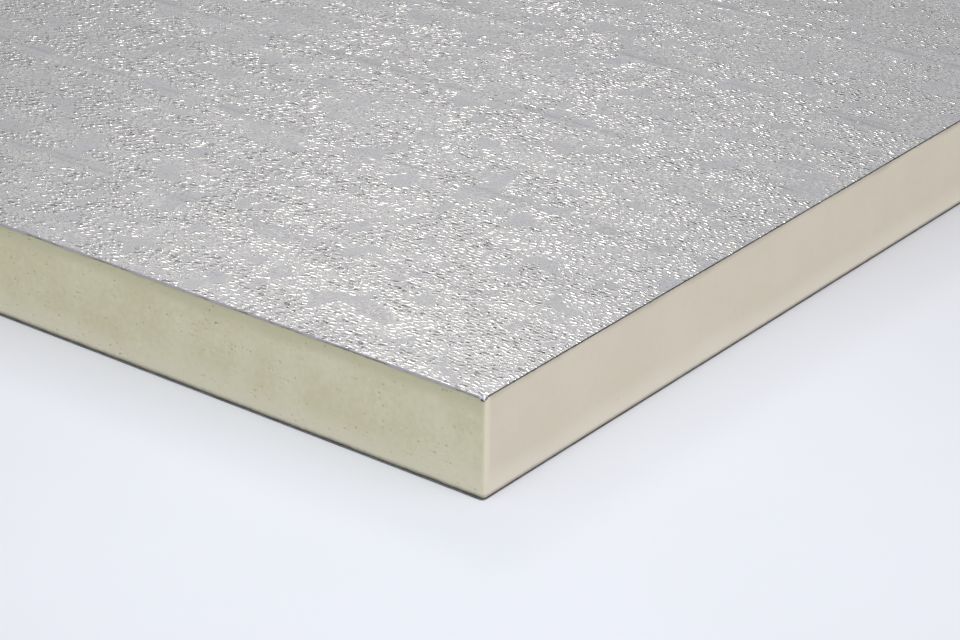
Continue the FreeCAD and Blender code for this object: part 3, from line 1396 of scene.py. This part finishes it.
    def build(self) -> MeshPlan:
        """Builds the slab.

        Returns:
            The plan of its mesh.
        """
        plan = MeshPlan()
        points, facing, cuts = self.outline()
        rows, first, last = self.levels()
        places = self.walls(points, facing, rows)
        numbers = plan.add_points(places)
        onward = np.roll(numbers, -1, axis=1)
        squares = np.stack((numbers[:-1], onward[:-1], onward[1:], numbers[1:]), axis=-1)
        halfway = np.abs(facing[:, 0] + np.roll(facing[:, 0], -1)) * 0.5
        skins = np.where(halfway > self.sawn_from, FoamSkin.SAWN, FoamSkin.TRIMMED)
        skins = np.broadcast_to(skins, squares.shape[:2])
        x, y, z = np.moveaxis(places[:-1], -1, 0)
        crowding = np.clip(1.0 + self.crowding * self.clusters.at(x + y, z), *self.crowding_limits)
        rng = np.random.default_rng(self.seed)
        chance = np.array([self.pit_chance[cut] for cut in cuts]) * crowding
        pitted = rng.random(chance.shape) < chance
        pitted[:first] = False
        pitted[last:] = False
        plan.add_faces(squares[~pitted], skins[~pitted])
        flat = places.reshape(-1, 3)
        for row, step in np.argwhere(pitted):
            corners = squares[row, step]
            self.stamp_pit(plan, flat[corners], corners, facing[step], skins[row, step], rng)
        plan.add_faces(numbers[:1, ::-1], FoamSkin.TRIMMED)
        plan.add_faces(numbers[-1:], FoamSkin.TRIMMED)
        return plan

    def stamp_pit(self, plan: MeshPlan, square: np.ndarray, corners: np.ndarray, out: np.ndarray,
                  skin: int, rng: np.random.Generator) -> None:
        """Replaces one square of the wall by a square with a torn pit or a crumb in it.

        Args:
            plan: The plan that the faces go into.
            square: The square's corners, anticlockwise from outside.
            corners: The numbers of those corners.
            out: Direction out of the wall, seen from above.
            skin: Material slot of the wall.
            rng: The random draws.
        """
        sides = self.PIT_SIDES
        small, large = self.pit_radius
        radius = small + (large - small) * rng.random() ** self.pit_rarity
        raised = skin == FoamSkin.SAWN and rng.random() < self.crumb_share
        depth = -self.crumb_height * radius if raised else radius * rng.uniform(*self.pit_depth)
        stretch = rng.uniform(*self.pit_stretch)
        angles = np.arange(sides) * math.tau / sides
        turned = angles - rng.uniform(0.0, math.pi)
        reach = rng.uniform(*self.pit_ragged, sides)
        reach = reach / np.hypot(np.cos(turned) / stretch, np.sin(turned) * stretch)
        across = square[1] - square[0]
        upward = square[3] - square[0]
        room = np.array((np.linalg.norm(across), np.linalg.norm(upward)))
        across = across / room[0]
        upward = upward / room[1]
        spare = np.maximum(0.5 * room - self.PIT_ROOM * radius * reach.max(), 0.0)
        slide = rng.uniform(-1.0, 1.0, 2) * spare
        centre = square.mean(axis=0) + across * slide[0] + upward * slide[1]
        inward = -np.array((out[0], out[1], 0.0))
        circle_x = (np.cos(angles) * reach)[:, None]
        circle_y = (np.sin(angles) * reach)[:, None]
        circle = (across * circle_x + upward * circle_y) * radius
        outer, rim, inner = (plan.add_points(centre + circle * share + inward * depth * sunk)
                             for share, sunk in self.PIT_RINGS)
        bottom = plan.add_points((centre + inward * depth)[None, :])
        # Points of the outer ring that face the square's corners, an eighth of a turn off its sides.
        facing = (np.arange(4) * 2 + 5) % sides
        between = (facing + 1) % sides
        plan.add_faces(np.column_stack((corners, np.roll(corners, -1), outer[np.roll(facing, -1)],
                                        outer[between], outer[facing])), skin)
        plan.add_strip(outer, rim, skin)
        plan.add_strip(rim, inner, skin)
        plan.add_faces(np.column_stack((inner, np.roll(inner, -1), np.repeat(bottom, sides))), skin)

    def dress(self, effects: Effects) -> bpy.types.Object:
        """Makes the slab and gives it its finishes.

        Args:
            effects: The shared node groups.

        Returns:
            The finished object.
        """
        half_length = self.size.half_length - self.end_recess
        half_width = self.size.half_width - self.side_recess
        sawn = Foam(
            half_length, half_width, "foam_sawn",
            first=(0.556, 0.527, 0.362, 1.0), second=(0.620, 0.598, 0.442, 1.0),
            upper=(0.515, 0.497, 0.345, 1.0), upper_band=(42.5 * MM, 48.5 * MM),
            # lower: painted bounce light from the floor.
            lower=(0.65, 0.62, 0.49, 1.0), floor_bounce_light_band=(4.0 * MM, 22.0 * MM),
            # worn: partly rubbed wear, partly a painted highlight on the arris.
            worn_and_highlit=(0.70, 0.65, 0.51, 1.0),
            # seam: glue with painted shadow under the foil's lip.
            seam_glue_and_shade=(0.19, 0.18, 0.145, 1.0), seam_glue_and_shade_band=(48.9 * MM, 49.4 * MM),
            # foot: soiling with painted shade near the floor.
            foot=(0.36, 0.345, 0.265, 1.0),
            # pore: painted shade inside the open cells.
            pore_shade=(0.36, 0.335, 0.22, 1.0), pore_share=0.16, grain_depth=0.22 * MM)
        trimmed = Foam(
            half_length, half_width, "foam_trimmed",
            first=(0.662, 0.604, 0.490, 1.0), second=(0.687, 0.624, 0.515, 1.0),
            upper=(0.50, 0.45, 0.365, 1.0), upper_band=(49.0 * MM, 53.4 * MM),
            # lower: painted bounce light from the floor.
            lower=(0.76, 0.70, 0.60, 1.0), floor_bounce_light_band=(3.0 * MM, 19.0 * MM),
            # worn: partly rubbed wear, partly a painted highlight on the arris.
            worn_and_highlit=(0.735, 0.68, 0.545, 1.0),
            # seam: glue with painted shadow under the foil's cut rim.
            seam_glue_and_shade=(0.10, 0.085, 0.07, 1.0), seam_glue_and_shade_band=(49.5 * MM, 50.0 * MM),
            # foot: soiling with painted shade near the floor.
            foot=(0.42, 0.38, 0.32, 1.0),
            # pore: painted shade inside the open cells.
            pore_shade=(0.58, 0.52, 0.41, 1.0), pore_share=0.01, grain_depth=0.04 * MM)
        skins = (sawn.make(effects), trimmed.make(effects))
        return self.join(self.build().make(self.name, skins, self.crease))


@dataclass
class Facer(Piece):
    """One embossed foil, a closed sheet whose outer face is a fine grid.

    Attributes:
        length_step: Spacing of the grid along the board.
        width_step: Spacing of the grid across the board.
        crease: Angle in radians above which an edge stays sharp.
        rim_lines: Distances from the rim of the grid's closest lines, in millimetres.
        mark_lines: Distances from a roll mark of the grid's lines there, in millimetres.
        mark_gap: Least gap between those lines and the even ones, in steps.
        broad_stretch: Scale of the broad waves across the board, against that along it.
    """

    length_step: float = 4.4 * MM
    width_step: float = 5.0 * MM
    crease: float = math.radians(60.0)
    rim_lines: tuple[float, ...] = (0.0, 0.4, 0.8, 1.2, 1.6, 2.0, 3.0, 4.5)
    mark_lines: tuple[float, ...] = (-5.0, -3.4, -2.2, -1.1, 0.0, 1.1, 2.2, 3.4, 5.0)
    mark_gap: float = 0.3
    broad_stretch: float = 0.35

    def grid_lines(self, half: float, step: float, marks: Sequence[float] = ()) -> np.ndarray:
        """Places the grid's lines along one direction.

        Args:
            half: Half of the board's size in that direction.
            step: Spacing away from the rim.
            marks: Places of the roll marks that cross that direction.

        Returns:
            The lines' places, in rising order.
        """
        rim = np.array(self.rim_lines) * MM
        close = np.array(self.mark_lines) * MM
        inner = half - rim[-1]
        middle = np.linspace(-inner, inner, round(2.0 * inner / step) + 1)
        for mark in marks:
            middle = middle[np.abs(middle - mark) > close[-1] + self.mark_gap * step]
            middle = np.concatenate((middle, mark + close))
        return np.concatenate((-half + rim[:-1], np.sort(middle), (half - rim[:-1])[::-1]))

    def round_corners(self, x: np.ndarray, y: np.ndarray) -> tuple[np.ndarray, np.ndarray]:
        """Moves the points in the grid's square corners onto quarter discs.

        Args:
            x: Places along the board.
            y: Places across the board.

        Returns:
            The moved places.
        """
        radius = self.size.arris_radius
        over_x = np.abs(x) - (self.size.half_length - radius)
        over_y = np.abs(y) - (self.size.half_width - radius)
        corner = (over_x > 0.0) & (over_y > 0.0)
        away = np.where(corner, np.hypot(over_x, over_y), 1.0)
        shrink = np.where(corner, np.maximum(over_x, over_y) / away, 1.0)
        new_x = np.where(corner, np.sign(x) * (np.abs(x) - over_x + over_x * shrink), x)
        new_y = np.where(corner, np.sign(y) * (np.abs(y) - over_y + over_y * shrink), y)
        return new_x, new_y

    @staticmethod
    def rim_loop(numbers: np.ndarray) -> np.ndarray:
        """Walks around a grid's rim, anticlockwise from above."""
        sides = (numbers[:-1, 0], numbers[-1, :-1], numbers[:0:-1, -1], numbers[0, :0:-1])
        return np.concatenate(sides)

    def outward(self, x: np.ndarray, y: np.ndarray) -> np.ndarray:
        """Directions out of the outline at points on it.

        Args:
            x: Places along the board.
            y: Places across the board.

        Returns:
            Unit directions, one for each point.
        """
        radius = self.size.arris_radius
        over_x = np.maximum(np.abs(x) - (self.size.half_length - radius), 0.0)
        over_y = np.maximum(np.abs(y) - (self.size.half_width - radius), 0.0)
        direction = np.column_stack((np.sign(x) * over_x, np.sign(y) * over_y))
        return direction / np.linalg.norm(direction, axis=1)[:, None]

    def rim_distance(self, x: np.ndarray, y: np.ndarray) -> np.ndarray:
        """Distance of points from the board's nearest side."""
        return np.minimum(self.size.half_length - np.abs(x), self.size.half_width - np.abs(y))

    def build(self) -> MeshPlan:
        """Builds the sheet; each facer has its own rim."""
        raise NotImplementedError

    def dress(self, foil: bpy.types.Material, edge: bpy.types.Material) -> bpy.types.Object:
        """Makes the sheet and gives it its finishes.

        Args:
            foil: Finish of the face.
            edge: Finish of the cut rim, painted dark as shade.

        Returns:
            The finished object.
        """
        return self.join(self.build().make(self.name, (foil, edge), self.crease))


@dataclass
class TopFacer(Facer):
    """The upper foil, rolled down over the sawn ends and cut flush on the long sides.

    Attributes:
        marks: The cross marks of the press rolls.
        roll_radius: Radius of the roll at the ends.
        roll_fade: Distance from the long sides over which the roll's pull on the face ends.
        roll_bends: Turns of the roll's rows of points, in degrees.
        lip: Height of the upright lip below the roll.
        lip_ragged: How much the lip's height changes.
        lip_limits: Least and greatest height of the lip.
        lip_thickness: Thickness of the lip's rim.
        lip_tuck: Depth of the lip's inner side below the face.
        lip_ends: Turns of the rim from the end, in degrees, where the lip starts to end and has ended.
        lip_coarse: Field of the lip's broad waves.
        lip_fine: Field of its fine waves.
        thickness: Thickness of the cut rim on the long sides.
        tip: Turn of a corner's tip from the end, the reach of its thin rim, both in degrees, and the
            share that is missing there.
        notch: Turn of the torn notch from the end, its reach, both in degrees, and how much thicker
            the rim is there.
        cut_inset: How far the cut rim's lower edge stands back.
        under_inset: How far the underside's next row stands back, on the long sides.
        lip_under_inset: How much less that is behind the lip.
        belly: Depth of the sheet's underside below its face.
        belly_inset: How far the flat underside stands back.
        wave: Height of the sheet's waves.
        wave_weights: Weights of the broad and the local waves.
        wave_limits: Least and greatest wave, in heights.
        broad: Field of the broad waves.
        local: Field of the local waves.
        flat_rim: Width of the band along the rim in which the waves and marks rise.
        mark_uneven: Field of the roll marks' height.
        mark_stretch: Scale of that field along the board, against that across it.
        mark_strength: Middle of the roll marks' height, and how much it changes.
        mark_limits: Least and greatest height of the roll marks.
        clearance: Gap between the face and the top of the board's box.
    """

    marks: RollMarks = field(kw_only=True)
    roll_radius: float = 0.42 * MM
    roll_fade: float = 1.2 * MM
    roll_bends: tuple[float, ...] = (30.0, 60.0, 90.0)
    lip: float = 0.42 * MM
    lip_ragged: float = 0.26 * MM
    lip_limits: Span = (0.05 * MM, 1.0 * MM)
    lip_thickness: float = 0.12 * MM
    lip_tuck: float = 0.47 * MM
    lip_ends: Span = (1.0, 8.0)
    lip_coarse: Waviness = Waviness(913, 9.0 * MM, 45.0 * MM)
    lip_fine: Waviness = Waviness(914, 4.0 * MM, 9.0 * MM)
    thickness: float = 0.80 * MM
    tip: tuple[float, float, float] = (60.0, 18.0, 0.75)
    notch: tuple[float, float, float] = (13.0, 8.0, 0.8)
    cut_inset: float = 0.01 * MM
    under_inset: float = 0.30 * MM
    lip_under_inset: float = 0.14 * MM
    belly: float = 0.68 * MM
    belly_inset: float = 2.2 * MM
    wave: float = 0.09 * MM
    wave_weights: Span = (0.75, 0.5)
    wave_limits: Span = (-2.4, 1.6)
    broad: Waviness = Waviness(911, 60.0 * MM, 160.0 * MM)
    local: Waviness = Waviness(912, 22.0 * MM, 48.0 * MM)
    flat_rim: float = 25.0 * MM
    mark_uneven: Waviness = Waviness(915, 30.0 * MM, 120.0 * MM)
    mark_stretch: float = 0.2
    mark_strength: Span = (0.75, 0.25)
    mark_limits: Span = (0.3, 1.0)
    clearance: float = 0.02 * MM

    def face_height(self, x: np.ndarray, y: np.ndarray) -> np.ndarray:
        """Height of the foil's face, with its waves, its roll marks and its bent corners.

        Args:
            x: Places along the board.
            y: Places across the board.

        Returns:
            The heights.
        """
        broad, local = self.wave_weights
        waves = broad * self.broad.at(x, y * self.broad_stretch) + local * self.local.at(x, y)
        wave = self.wave * (np.clip(waves, *self.wave_limits) - self.wave_limits[1])
        usual, change = self.mark_strength
        strength = usual + change * self.mark_uneven.at(x * self.mark_stretch, y)
        bead = self.marks.rise(x) * np.clip(strength, *self.mark_limits) - self.marks.height
        inside = smooth_step(0.0, self.flat_rim, self.rim_distance(x, y))
        level = self.size.top - self.clearance
        return level + (wave + bead) * inside - self.size.corner_crush(x, y)

    def lip_share(self, turn: np.ndarray) -> np.ndarray:
        """Share of the roll by how far the rim turns from the end: none past the notch at a corner."""
        return 1.0 - smooth_step(*self.lip_ends, turn)

    def rim_thickness(self, turn: np.ndarray) -> np.ndarray:
        """Thickness of the cut rim, torn at the notch and thin at the corner's tip.

        Args:
            turn: How far the rim turns from the end, in degrees.

        Returns:
            The thicknesses.
        """
        tip_turn, tip_reach, thinner = self.tip
        notch_turn, notch_reach, thicker = self.notch
        tip = np.exp(-((turn - tip_turn) / tip_reach) ** 2)
        notch = np.exp(-((turn - notch_turn) / notch_reach) ** 2)
        return self.thickness * (1.0 - thinner * tip + thicker * notch)

    def lip_height(self, x: np.ndarray, y: np.ndarray) -> np.ndarray:
        """Height of the uneven lip below the roll.

        Args:
            x: Places of the rim along the board.
            y: Places of the rim across the board.

        Returns:
            The heights.
        """
        end = np.sign(x) * 0.1
        uneven = 0.8 * self.lip_coarse.at(y, end) + 0.5 * self.lip_fine.at(y, end)
        return np.clip(self.lip + self.lip_ragged * uneven, *self.lip_limits)

    def build(self) -> MeshPlan:
        """Builds the sheet.

        Returns:
            The plan of its mesh.
        """
        plan = MeshPlan()
        lines_x = self.grid_lines(self.size.half_length, self.length_step, self.marks.places())
        lines_y = self.grid_lines(self.size.half_width, self.width_step)
        x, y = self.round_corners(*np.meshgrid(lines_x, lines_y, indexing="ij"))
        height = self.face_height(x, y)
        rim = np.column_stack((self.rim_loop(x), self.rim_loop(y)))
        outward = self.outward(rim[:, 0], rim[:, 1])
        turn = np.degrees(np.arccos(np.clip(np.abs(outward[:, 0]), 0.0, 1.0)))
        share = self.lip_share(turn)
        top = self.rim_loop(height)
        pull = self.roll_radius * np.abs(x) / self.size.half_length
        pull = pull * (1.0 - smooth_step(-self.roll_fade, 0.0, np.abs(y) - self.size.half_width))
        face = np.stack((x - np.sign(x) * pull, y, height), axis=-1)
        start = rim - outward * (self.roll_radius * share)[:, None]
        self.set_rim(face, np.column_stack((start, top)))
        numbers = plan.add_points(face)
        plan.add_grid(numbers, FoilSkin.FACE)
        previous = self.rim_loop(numbers)
        for back, level, skin in self.rim_rows(rim, turn, share, top):
            inset = outward * np.broadcast_to(back, share.shape)[:, None]
            ring = plan.add_points(np.column_stack((rim - inset, np.broadcast_to(level, share.shape))))
            plan.add_strip(ring, previous, skin)
            previous = ring
        plan.add_faces(previous[None, ::-1], FoilSkin.CUT_EDGE_SHADE)
        return plan

    def rim_rows(
        self, rim: np.ndarray, turn: np.ndarray, share: np.ndarray, top: np.ndarray
    ) -> list[tuple[np.ndarray | float, np.ndarray | float, FoilSkin]]:
        """Lists the rows of points around the rim, from the face down and under.

        Args:
            rim: Places of the rim, along and across the board.
            turn: How far the rim turns from the end, in degrees.
            share: Share of the roll.
            top: Height of the face at the rim.

        Returns:
            The set-back, the height and the material slot of each row.
        """
        roll = self.roll_radius * share
        cut_depth = self.rim_thickness(turn) * (1.0 - share)
        hang = top - share * (self.roll_radius + self.lip_height(rim[:, 0], rim[:, 1]))
        rows = [(roll * (1.0 - math.sin(bend)), top - roll * (1.0 - math.cos(bend)), FoilSkin.FACE)
                for bend in np.radians(self.roll_bends)]
        rows.append((0.0, hang, FoilSkin.FACE))
        rows.append((self.lip_thickness * share + self.cut_inset, hang - cut_depth, FoilSkin.CUT_EDGE_SHADE))
        rows.append((self.under_inset - self.lip_under_inset * share,
                     top - self.lip_tuck * share - cut_depth, FoilSkin.CUT_EDGE_SHADE))
        rows.append((self.belly_inset, self.size.top - self.belly, FoilSkin.CUT_EDGE_SHADE))
        return rows

    def set_rim(self, face: np.ndarray, rim: np.ndarray) -> None:
        """Puts the grid's rim points where the roll starts.

        Args:
            face: The grid's points, changed in place.
            rim: The new points, anticlockwise from above.
        """
        numbers = np.arange(face.shape[0] * face.shape[1]).reshape(face.shape[:2])
        face.reshape(-1, 3)[self.rim_loop(numbers)] = rim


@dataclass
class BottomFacer(Facer):
    """The lower foil, turned up a little at its rim.

    Attributes:
        lift: How far the rim stands off the floor.
        lift_ragged: How much that changes along the rim.
        lift_limit: Greatest change, in multiples of that.
        lift_reach: Width of the band that is turned up.
        thickness: Thickness of the cut rim.
        cut_inset: How far the cut rim's upper edge stands back.
        inner_inset: How far the flat upper side stands back.
        wave: Height of the sheet's waves.
        wave_limit: Greatest wave, in heights.
        broad: Field of the waves.
        local: Field of the rim's lift.
    """

    lift: float = 0.12 * MM
    lift_ragged: float = 0.06 * MM
    lift_limit: float = 1.6
    lift_reach: float = 3.0 * MM
    thickness: float = 0.28 * MM
    cut_inset: float = 0.01 * MM
    inner_inset: float = 3.4 * MM
    wave: float = 0.03 * MM
    wave_limit: float = 1.5
    broad: Waviness = Waviness(916, 60.0 * MM, 160.0 * MM)
    local: Waviness = Waviness(917, 7.0 * MM, 40.0 * MM)

    def face_height(self, x: np.ndarray, y: np.ndarray) -> np.ndarray:
        """Height of the foil's underside above the floor.

        Args:
            x: Places along the board.
            y: Places across the board.

        Returns:
            The heights.
        """
        broad = self.broad.at(x, y * self.broad_stretch)
        broad = np.clip(broad, -self.wave_limit, self.wave_limit)
        local = np.clip(self.local.at(x, y), -self.lift_limit, self.lift_limit)
        lift = self.lift + self.lift_ragged * local
        share = np.clip(1.0 - self.rim_distance(x, y) / self.lift_reach, 0.0, 1.0)
        return self.wave * (broad + self.wave_limit) + lift * share ** 2

    def build(self) -> MeshPlan:
        """Builds the sheet.

        Returns:
            The plan of its mesh.
        """
        plan = MeshPlan()
        lines_x = self.grid_lines(self.size.half_length, self.length_step)
        lines_y = self.grid_lines(self.size.half_width, self.width_step)
        x, y = self.round_corners(*np.meshgrid(lines_x, lines_y, indexing="ij"))
        height = self.face_height(x, y)
        height -= height.min()
        numbers = plan.add_points(np.stack((x, y, height), axis=-1))
        plan.add_grid(numbers, FoilSkin.FACE, upward=False)
        rim = np.column_stack((self.rim_loop(x), self.rim_loop(y)))
        outward = self.outward(rim[:, 0], rim[:, 1])
        upper = self.rim_loop(height) + self.thickness
        cut = plan.add_points(np.column_stack((rim - outward * self.cut_inset, upper)))
        plan.add_strip(self.rim_loop(numbers), cut, FoilSkin.CUT_EDGE_SHADE)
        level = np.full(len(rim), self.size.foam_low)
        inner = plan.add_points(np.column_stack((rim - outward * self.inner_inset, level)))
        plan.add_strip(cut, inner, FoilSkin.CUT_EDGE_SHADE)
        plan.add_faces(inner[None, :], FoilSkin.CUT_EDGE_SHADE)
        return plan


@dataclass(frozen=True)
class Softbox:
    """A rectangular lamp that looks at the board's near corner.

    Attributes:
        name: The lamp's name.
        heading: Direction of the lamp from the corner, in degrees from along the board.
        rise: Height of the lamp above the floor's horizon, in degrees.
        distance: Distance from the corner in metres.
        size: Width and height of the lamp in metres.
        radiance: Brightness of its face, where 1 is white.
        colour: Colour of the light.
    """

    name: str
    heading: float
    rise: float
    distance: float
    size: Span
    radiance: float
    colour: tuple[float, float, float]

    def add(self, corner: Vector) -> bpy.types.Object:
        """Adds the lamp.

        Args:
            corner: The corner that it looks at.

        Returns:
            The lamp.
        """
        lamp = bpy.data.lights.new(self.name, "AREA")
        lamp.shape = "RECTANGLE"
        lamp.size, lamp.size_y = self.size
        lamp.energy = self.radiance * math.pi * self.size[0] * self.size[1]
        lamp.color = self.colour
        out = aim(self.heading, self.rise)
        made = bpy.data.objects.new(self.name, lamp)
        made.location = corner + out * self.distance
        made.rotation_euler = out.to_track_quat("Z", "Y").to_euler()
        bpy.context.scene.collection.objects.link(made)
        return made


@dataclass
class Studio:
    """Floor, light and camera around the board.

    Attributes:
        size: The board's sizes.
        camera_place: The camera's place from the near bottom corner, in board thicknesses.
        heading: The camera's heading in degrees, from along the board towards across it.
        pitch: How far the camera looks down, in degrees.
        roll: How far the camera is turned about its own line of sight, in degrees.
        lens: Focal length in millimetres.
        sensor: Width of the picture behind the lens in millimetres.
        floor_half: Half of the floor's size.
        floor_lines: Lines of the floor's grid in each direction.
        softboxes: The lamps.
        glow_heading: Heading of the glow behind the board, in degrees.
        glow_levels: Sine of the rise above the floor, and the glow's level there.
        glow_blue: Blue of the glow against its red and green.
        glow_fade: Sideways parts of a direction where the glow starts to fade and has faded.
        glow_edge: Strength of the glow in the middle and where it has faded.
        glow_blend: Forward parts of a direction where the glow starts and is full.
        room_low: Colour of the room in front at the floor.
        room_high: Colour of the room in front overhead.
        room_rise: Sines of the rise where the colour overhead starts and is full.
    """

    size: BoardSize
    camera_place: tuple[float, float, float] = (-18.291, -13.916, 12.794)
    heading: float = 37.373
    pitch: float = 25.708
    roll: float = 0.636
    lens: float = 114.71
    sensor: float = 36.0
    floor_half: float = 14.0
    floor_lines: int = 9
    softboxes: tuple[Softbox, ...] = (
        Softbox("back_light", 45.0, 39.5, 2.2, (0.66, 0.29), 5.4, (1.0, 0.97, 0.90)),
        Softbox("side_light", -80.0, 36.0, 1.9, (1.04, 0.86), 1.15, (1.0, 0.985, 0.96)),
        Softbox("top_light", 207.0, 68.0, 2.4, (1.64, 1.64), 1.60, (0.98, 0.99, 1.0)),
    )
    glow_heading: float = 36.0
    glow_levels: tuple[Span, ...] = (
        (0.0, 0.18), (0.08, 0.26), (0.15, 0.41), (0.30, 0.46), (0.345, 0.51), (0.36, 0.63),
        (0.395, 1.14), (0.415, 1.26), (0.43, 0.76), (0.442, 0.32), (0.465, 0.19), (0.51, 0.18),
        (0.56, 0.36), (0.63, 0.76), (0.71, 0.95), (0.9, 0.95),
    )
    glow_blue: float = 1.01
    glow_fade: Span = (0.0, 0.5)
    glow_edge: Span = (1.0, 0.58)
    glow_blend: Span = (0.0, 0.5)
    room_low: Colour = (0.68, 0.68, 0.69, 1.0)
    room_high: Colour = (0.90, 0.90, 0.91, 1.0)
    room_rise: Span = (0.0, 0.65)

    def near_corner(self) -> Vector:
        """The board's bottom corner that is nearest to the camera."""
        return Vector((-self.size.half_length, -self.size.half_width, 0.0))

    def add_camera(self) -> bpy.types.Object:
        """Adds the camera at the photograph's viewing angle.

        Returns:
            The camera.
        """
        yaw = math.radians(self.heading)
        turn = math.radians(self.roll)
        ahead = aim(self.heading, -self.pitch)
        level = Vector((math.sin(yaw), -math.cos(yaw), 0.0))
        upright = level.cross(ahead)
        right = level * math.cos(turn) + upright * math.sin(turn)
        up = upright * math.cos(turn) - level * math.sin(turn)
        lens = bpy.data.cameras.new("camera")
        lens.lens = self.lens
        lens.sensor_width = self.sensor
        camera = bpy.data.objects.new("camera", lens)
        place = self.near_corner() + Vector(self.camera_place) * self.size.top
        axes = Matrix((right, up, -ahead)).transposed().to_4x4()
        camera.matrix_world = Matrix.Translation(place) @ axes
        bpy.context.scene.collection.objects.link(camera)
        bpy.context.scene.camera = camera
        return camera

    def add_floor(self, effects: Effects) -> bpy.types.Object:
        """Adds the pale floor.

        Args:
            effects: The shared node groups.

        Returns:
            The floor.
        """
        plan = MeshPlan()
        lines = np.linspace(-self.floor_half, self.floor_half, self.floor_lines)
        x, y = np.meshgrid(lines, lines, indexing="ij")
        numbers = plan.add_points(np.stack((x, y, np.zeros_like(x)), axis=-1))
        plan.add_grid(numbers, 0)
        finish = PaleFloorPaintedFalloff(self.near_corner()).make(effects)
        floor = plan.make("floor", (finish,), FLOOR_CREASE)
        return floor

    def add_world(self) -> None:
        """Adds the surround: a glow behind the board that fades into dusk, and a pale room in front."""
        world = bpy.data.worlds.new("surround")
        world.use_nodes = True
        world.node_tree.nodes.clear()
        sheet = NodeSheet(world.node_tree)
        direction = sheet.add("ShaderNodeTexCoord").outputs["Generated"]
        ahead = sheet.vector("DOT_PRODUCT", direction, aim(self.glow_heading, 0.0))
        aside = sheet.vector("DOT_PRODUCT", direction, aim(self.glow_heading + 90.0, 0.0))
        rise = sheet.parts(direction)["Z"]
        behind = sheet.add("ShaderNodeValToRGB", {0: rise})
        for place, level in self.glow_levels:
            stop = behind.color_ramp.elements.new(place)
            stop.color = (level, level, level * self.glow_blue, 1.0)
        behind.color_ramp.elements.remove(behind.color_ramp.elements[0])
        fade = sheet.ramp(sheet.math("ABSOLUTE", aside), self.glow_fade, self.glow_edge)
        glow = sheet.mix(1.0, behind.outputs["Color"], fade, blend="MULTIPLY")
        front = sheet.mix(sheet.ramp(rise, self.room_rise), self.room_low, self.room_high)
        colour = sheet.mix(sheet.ramp(ahead, self.glow_blend), front, glow)
        background = sheet.add("ShaderNodeBackground", {"Color": colour, "Strength": 1.0})
        sheet.add("ShaderNodeOutputWorld", {"Surface": background.outputs["Background"]})
        bpy.context.scene.world = world

    def build(self, effects: Effects) -> None:
        """Adds the camera, the floor and the light.

        Args:
            effects: The shared node groups.
        """
        self.add_camera()
        self.add_floor(effects)
        self.add_world()
        for softbox in self.softboxes:
            softbox.add(self.near_corner())


def report(made: bpy.types.Object) -> None:
    """Writes a piece's size to the log.

    Args:
        made: The piece's object.
    """
    mesh = made.data
    mesh.calc_loop_triangles()
    LOG.info("%s: %d points, %d triangles", made.name, len(mesh.vertices), len(mesh.loop_triangles))


def main() -> None:
    """Builds the board and the studio."""
    logging.basicConfig(level=logging.INFO, format="%(name)s: %(message)s")
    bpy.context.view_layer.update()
    bpy.context.scene.view_settings.view_transform = "Standard"
    size = BoardSize.from_frame()
    effects = Effects()
    marks = RollMarks(first=FIRST_MARK - size.half_length, last=size.half_length)
    foil = EmbossedFoil(marks, size.half_length, size.half_width).make(effects)
    edge = CutEdgeShade().make(effects)
    # The lower cut rim is painted dark grey as the contact shadow at the floor.
    lower_edge_shade = CutEdgeShade(
        "lower_cut_edge_shade", dark=(0.105, 0.107, 0.118, 1.0), light=(0.20, 0.204, 0.22, 1.0)).make(effects)
    report(FoamCore(size, "foam_slab", "foam_core", "polyiso_foam").dress(effects))
    report(TopFacer(size, "upper_foil", "top_facer", "embossed_foil", marks=marks).dress(foil, edge))
    report(BottomFacer(size, "lower_foil", "bottom_facer", "embossed_foil").dress(foil, lower_edge_shade))
    Studio(size).build(effects)


if __name__ == "__main__":
    main()
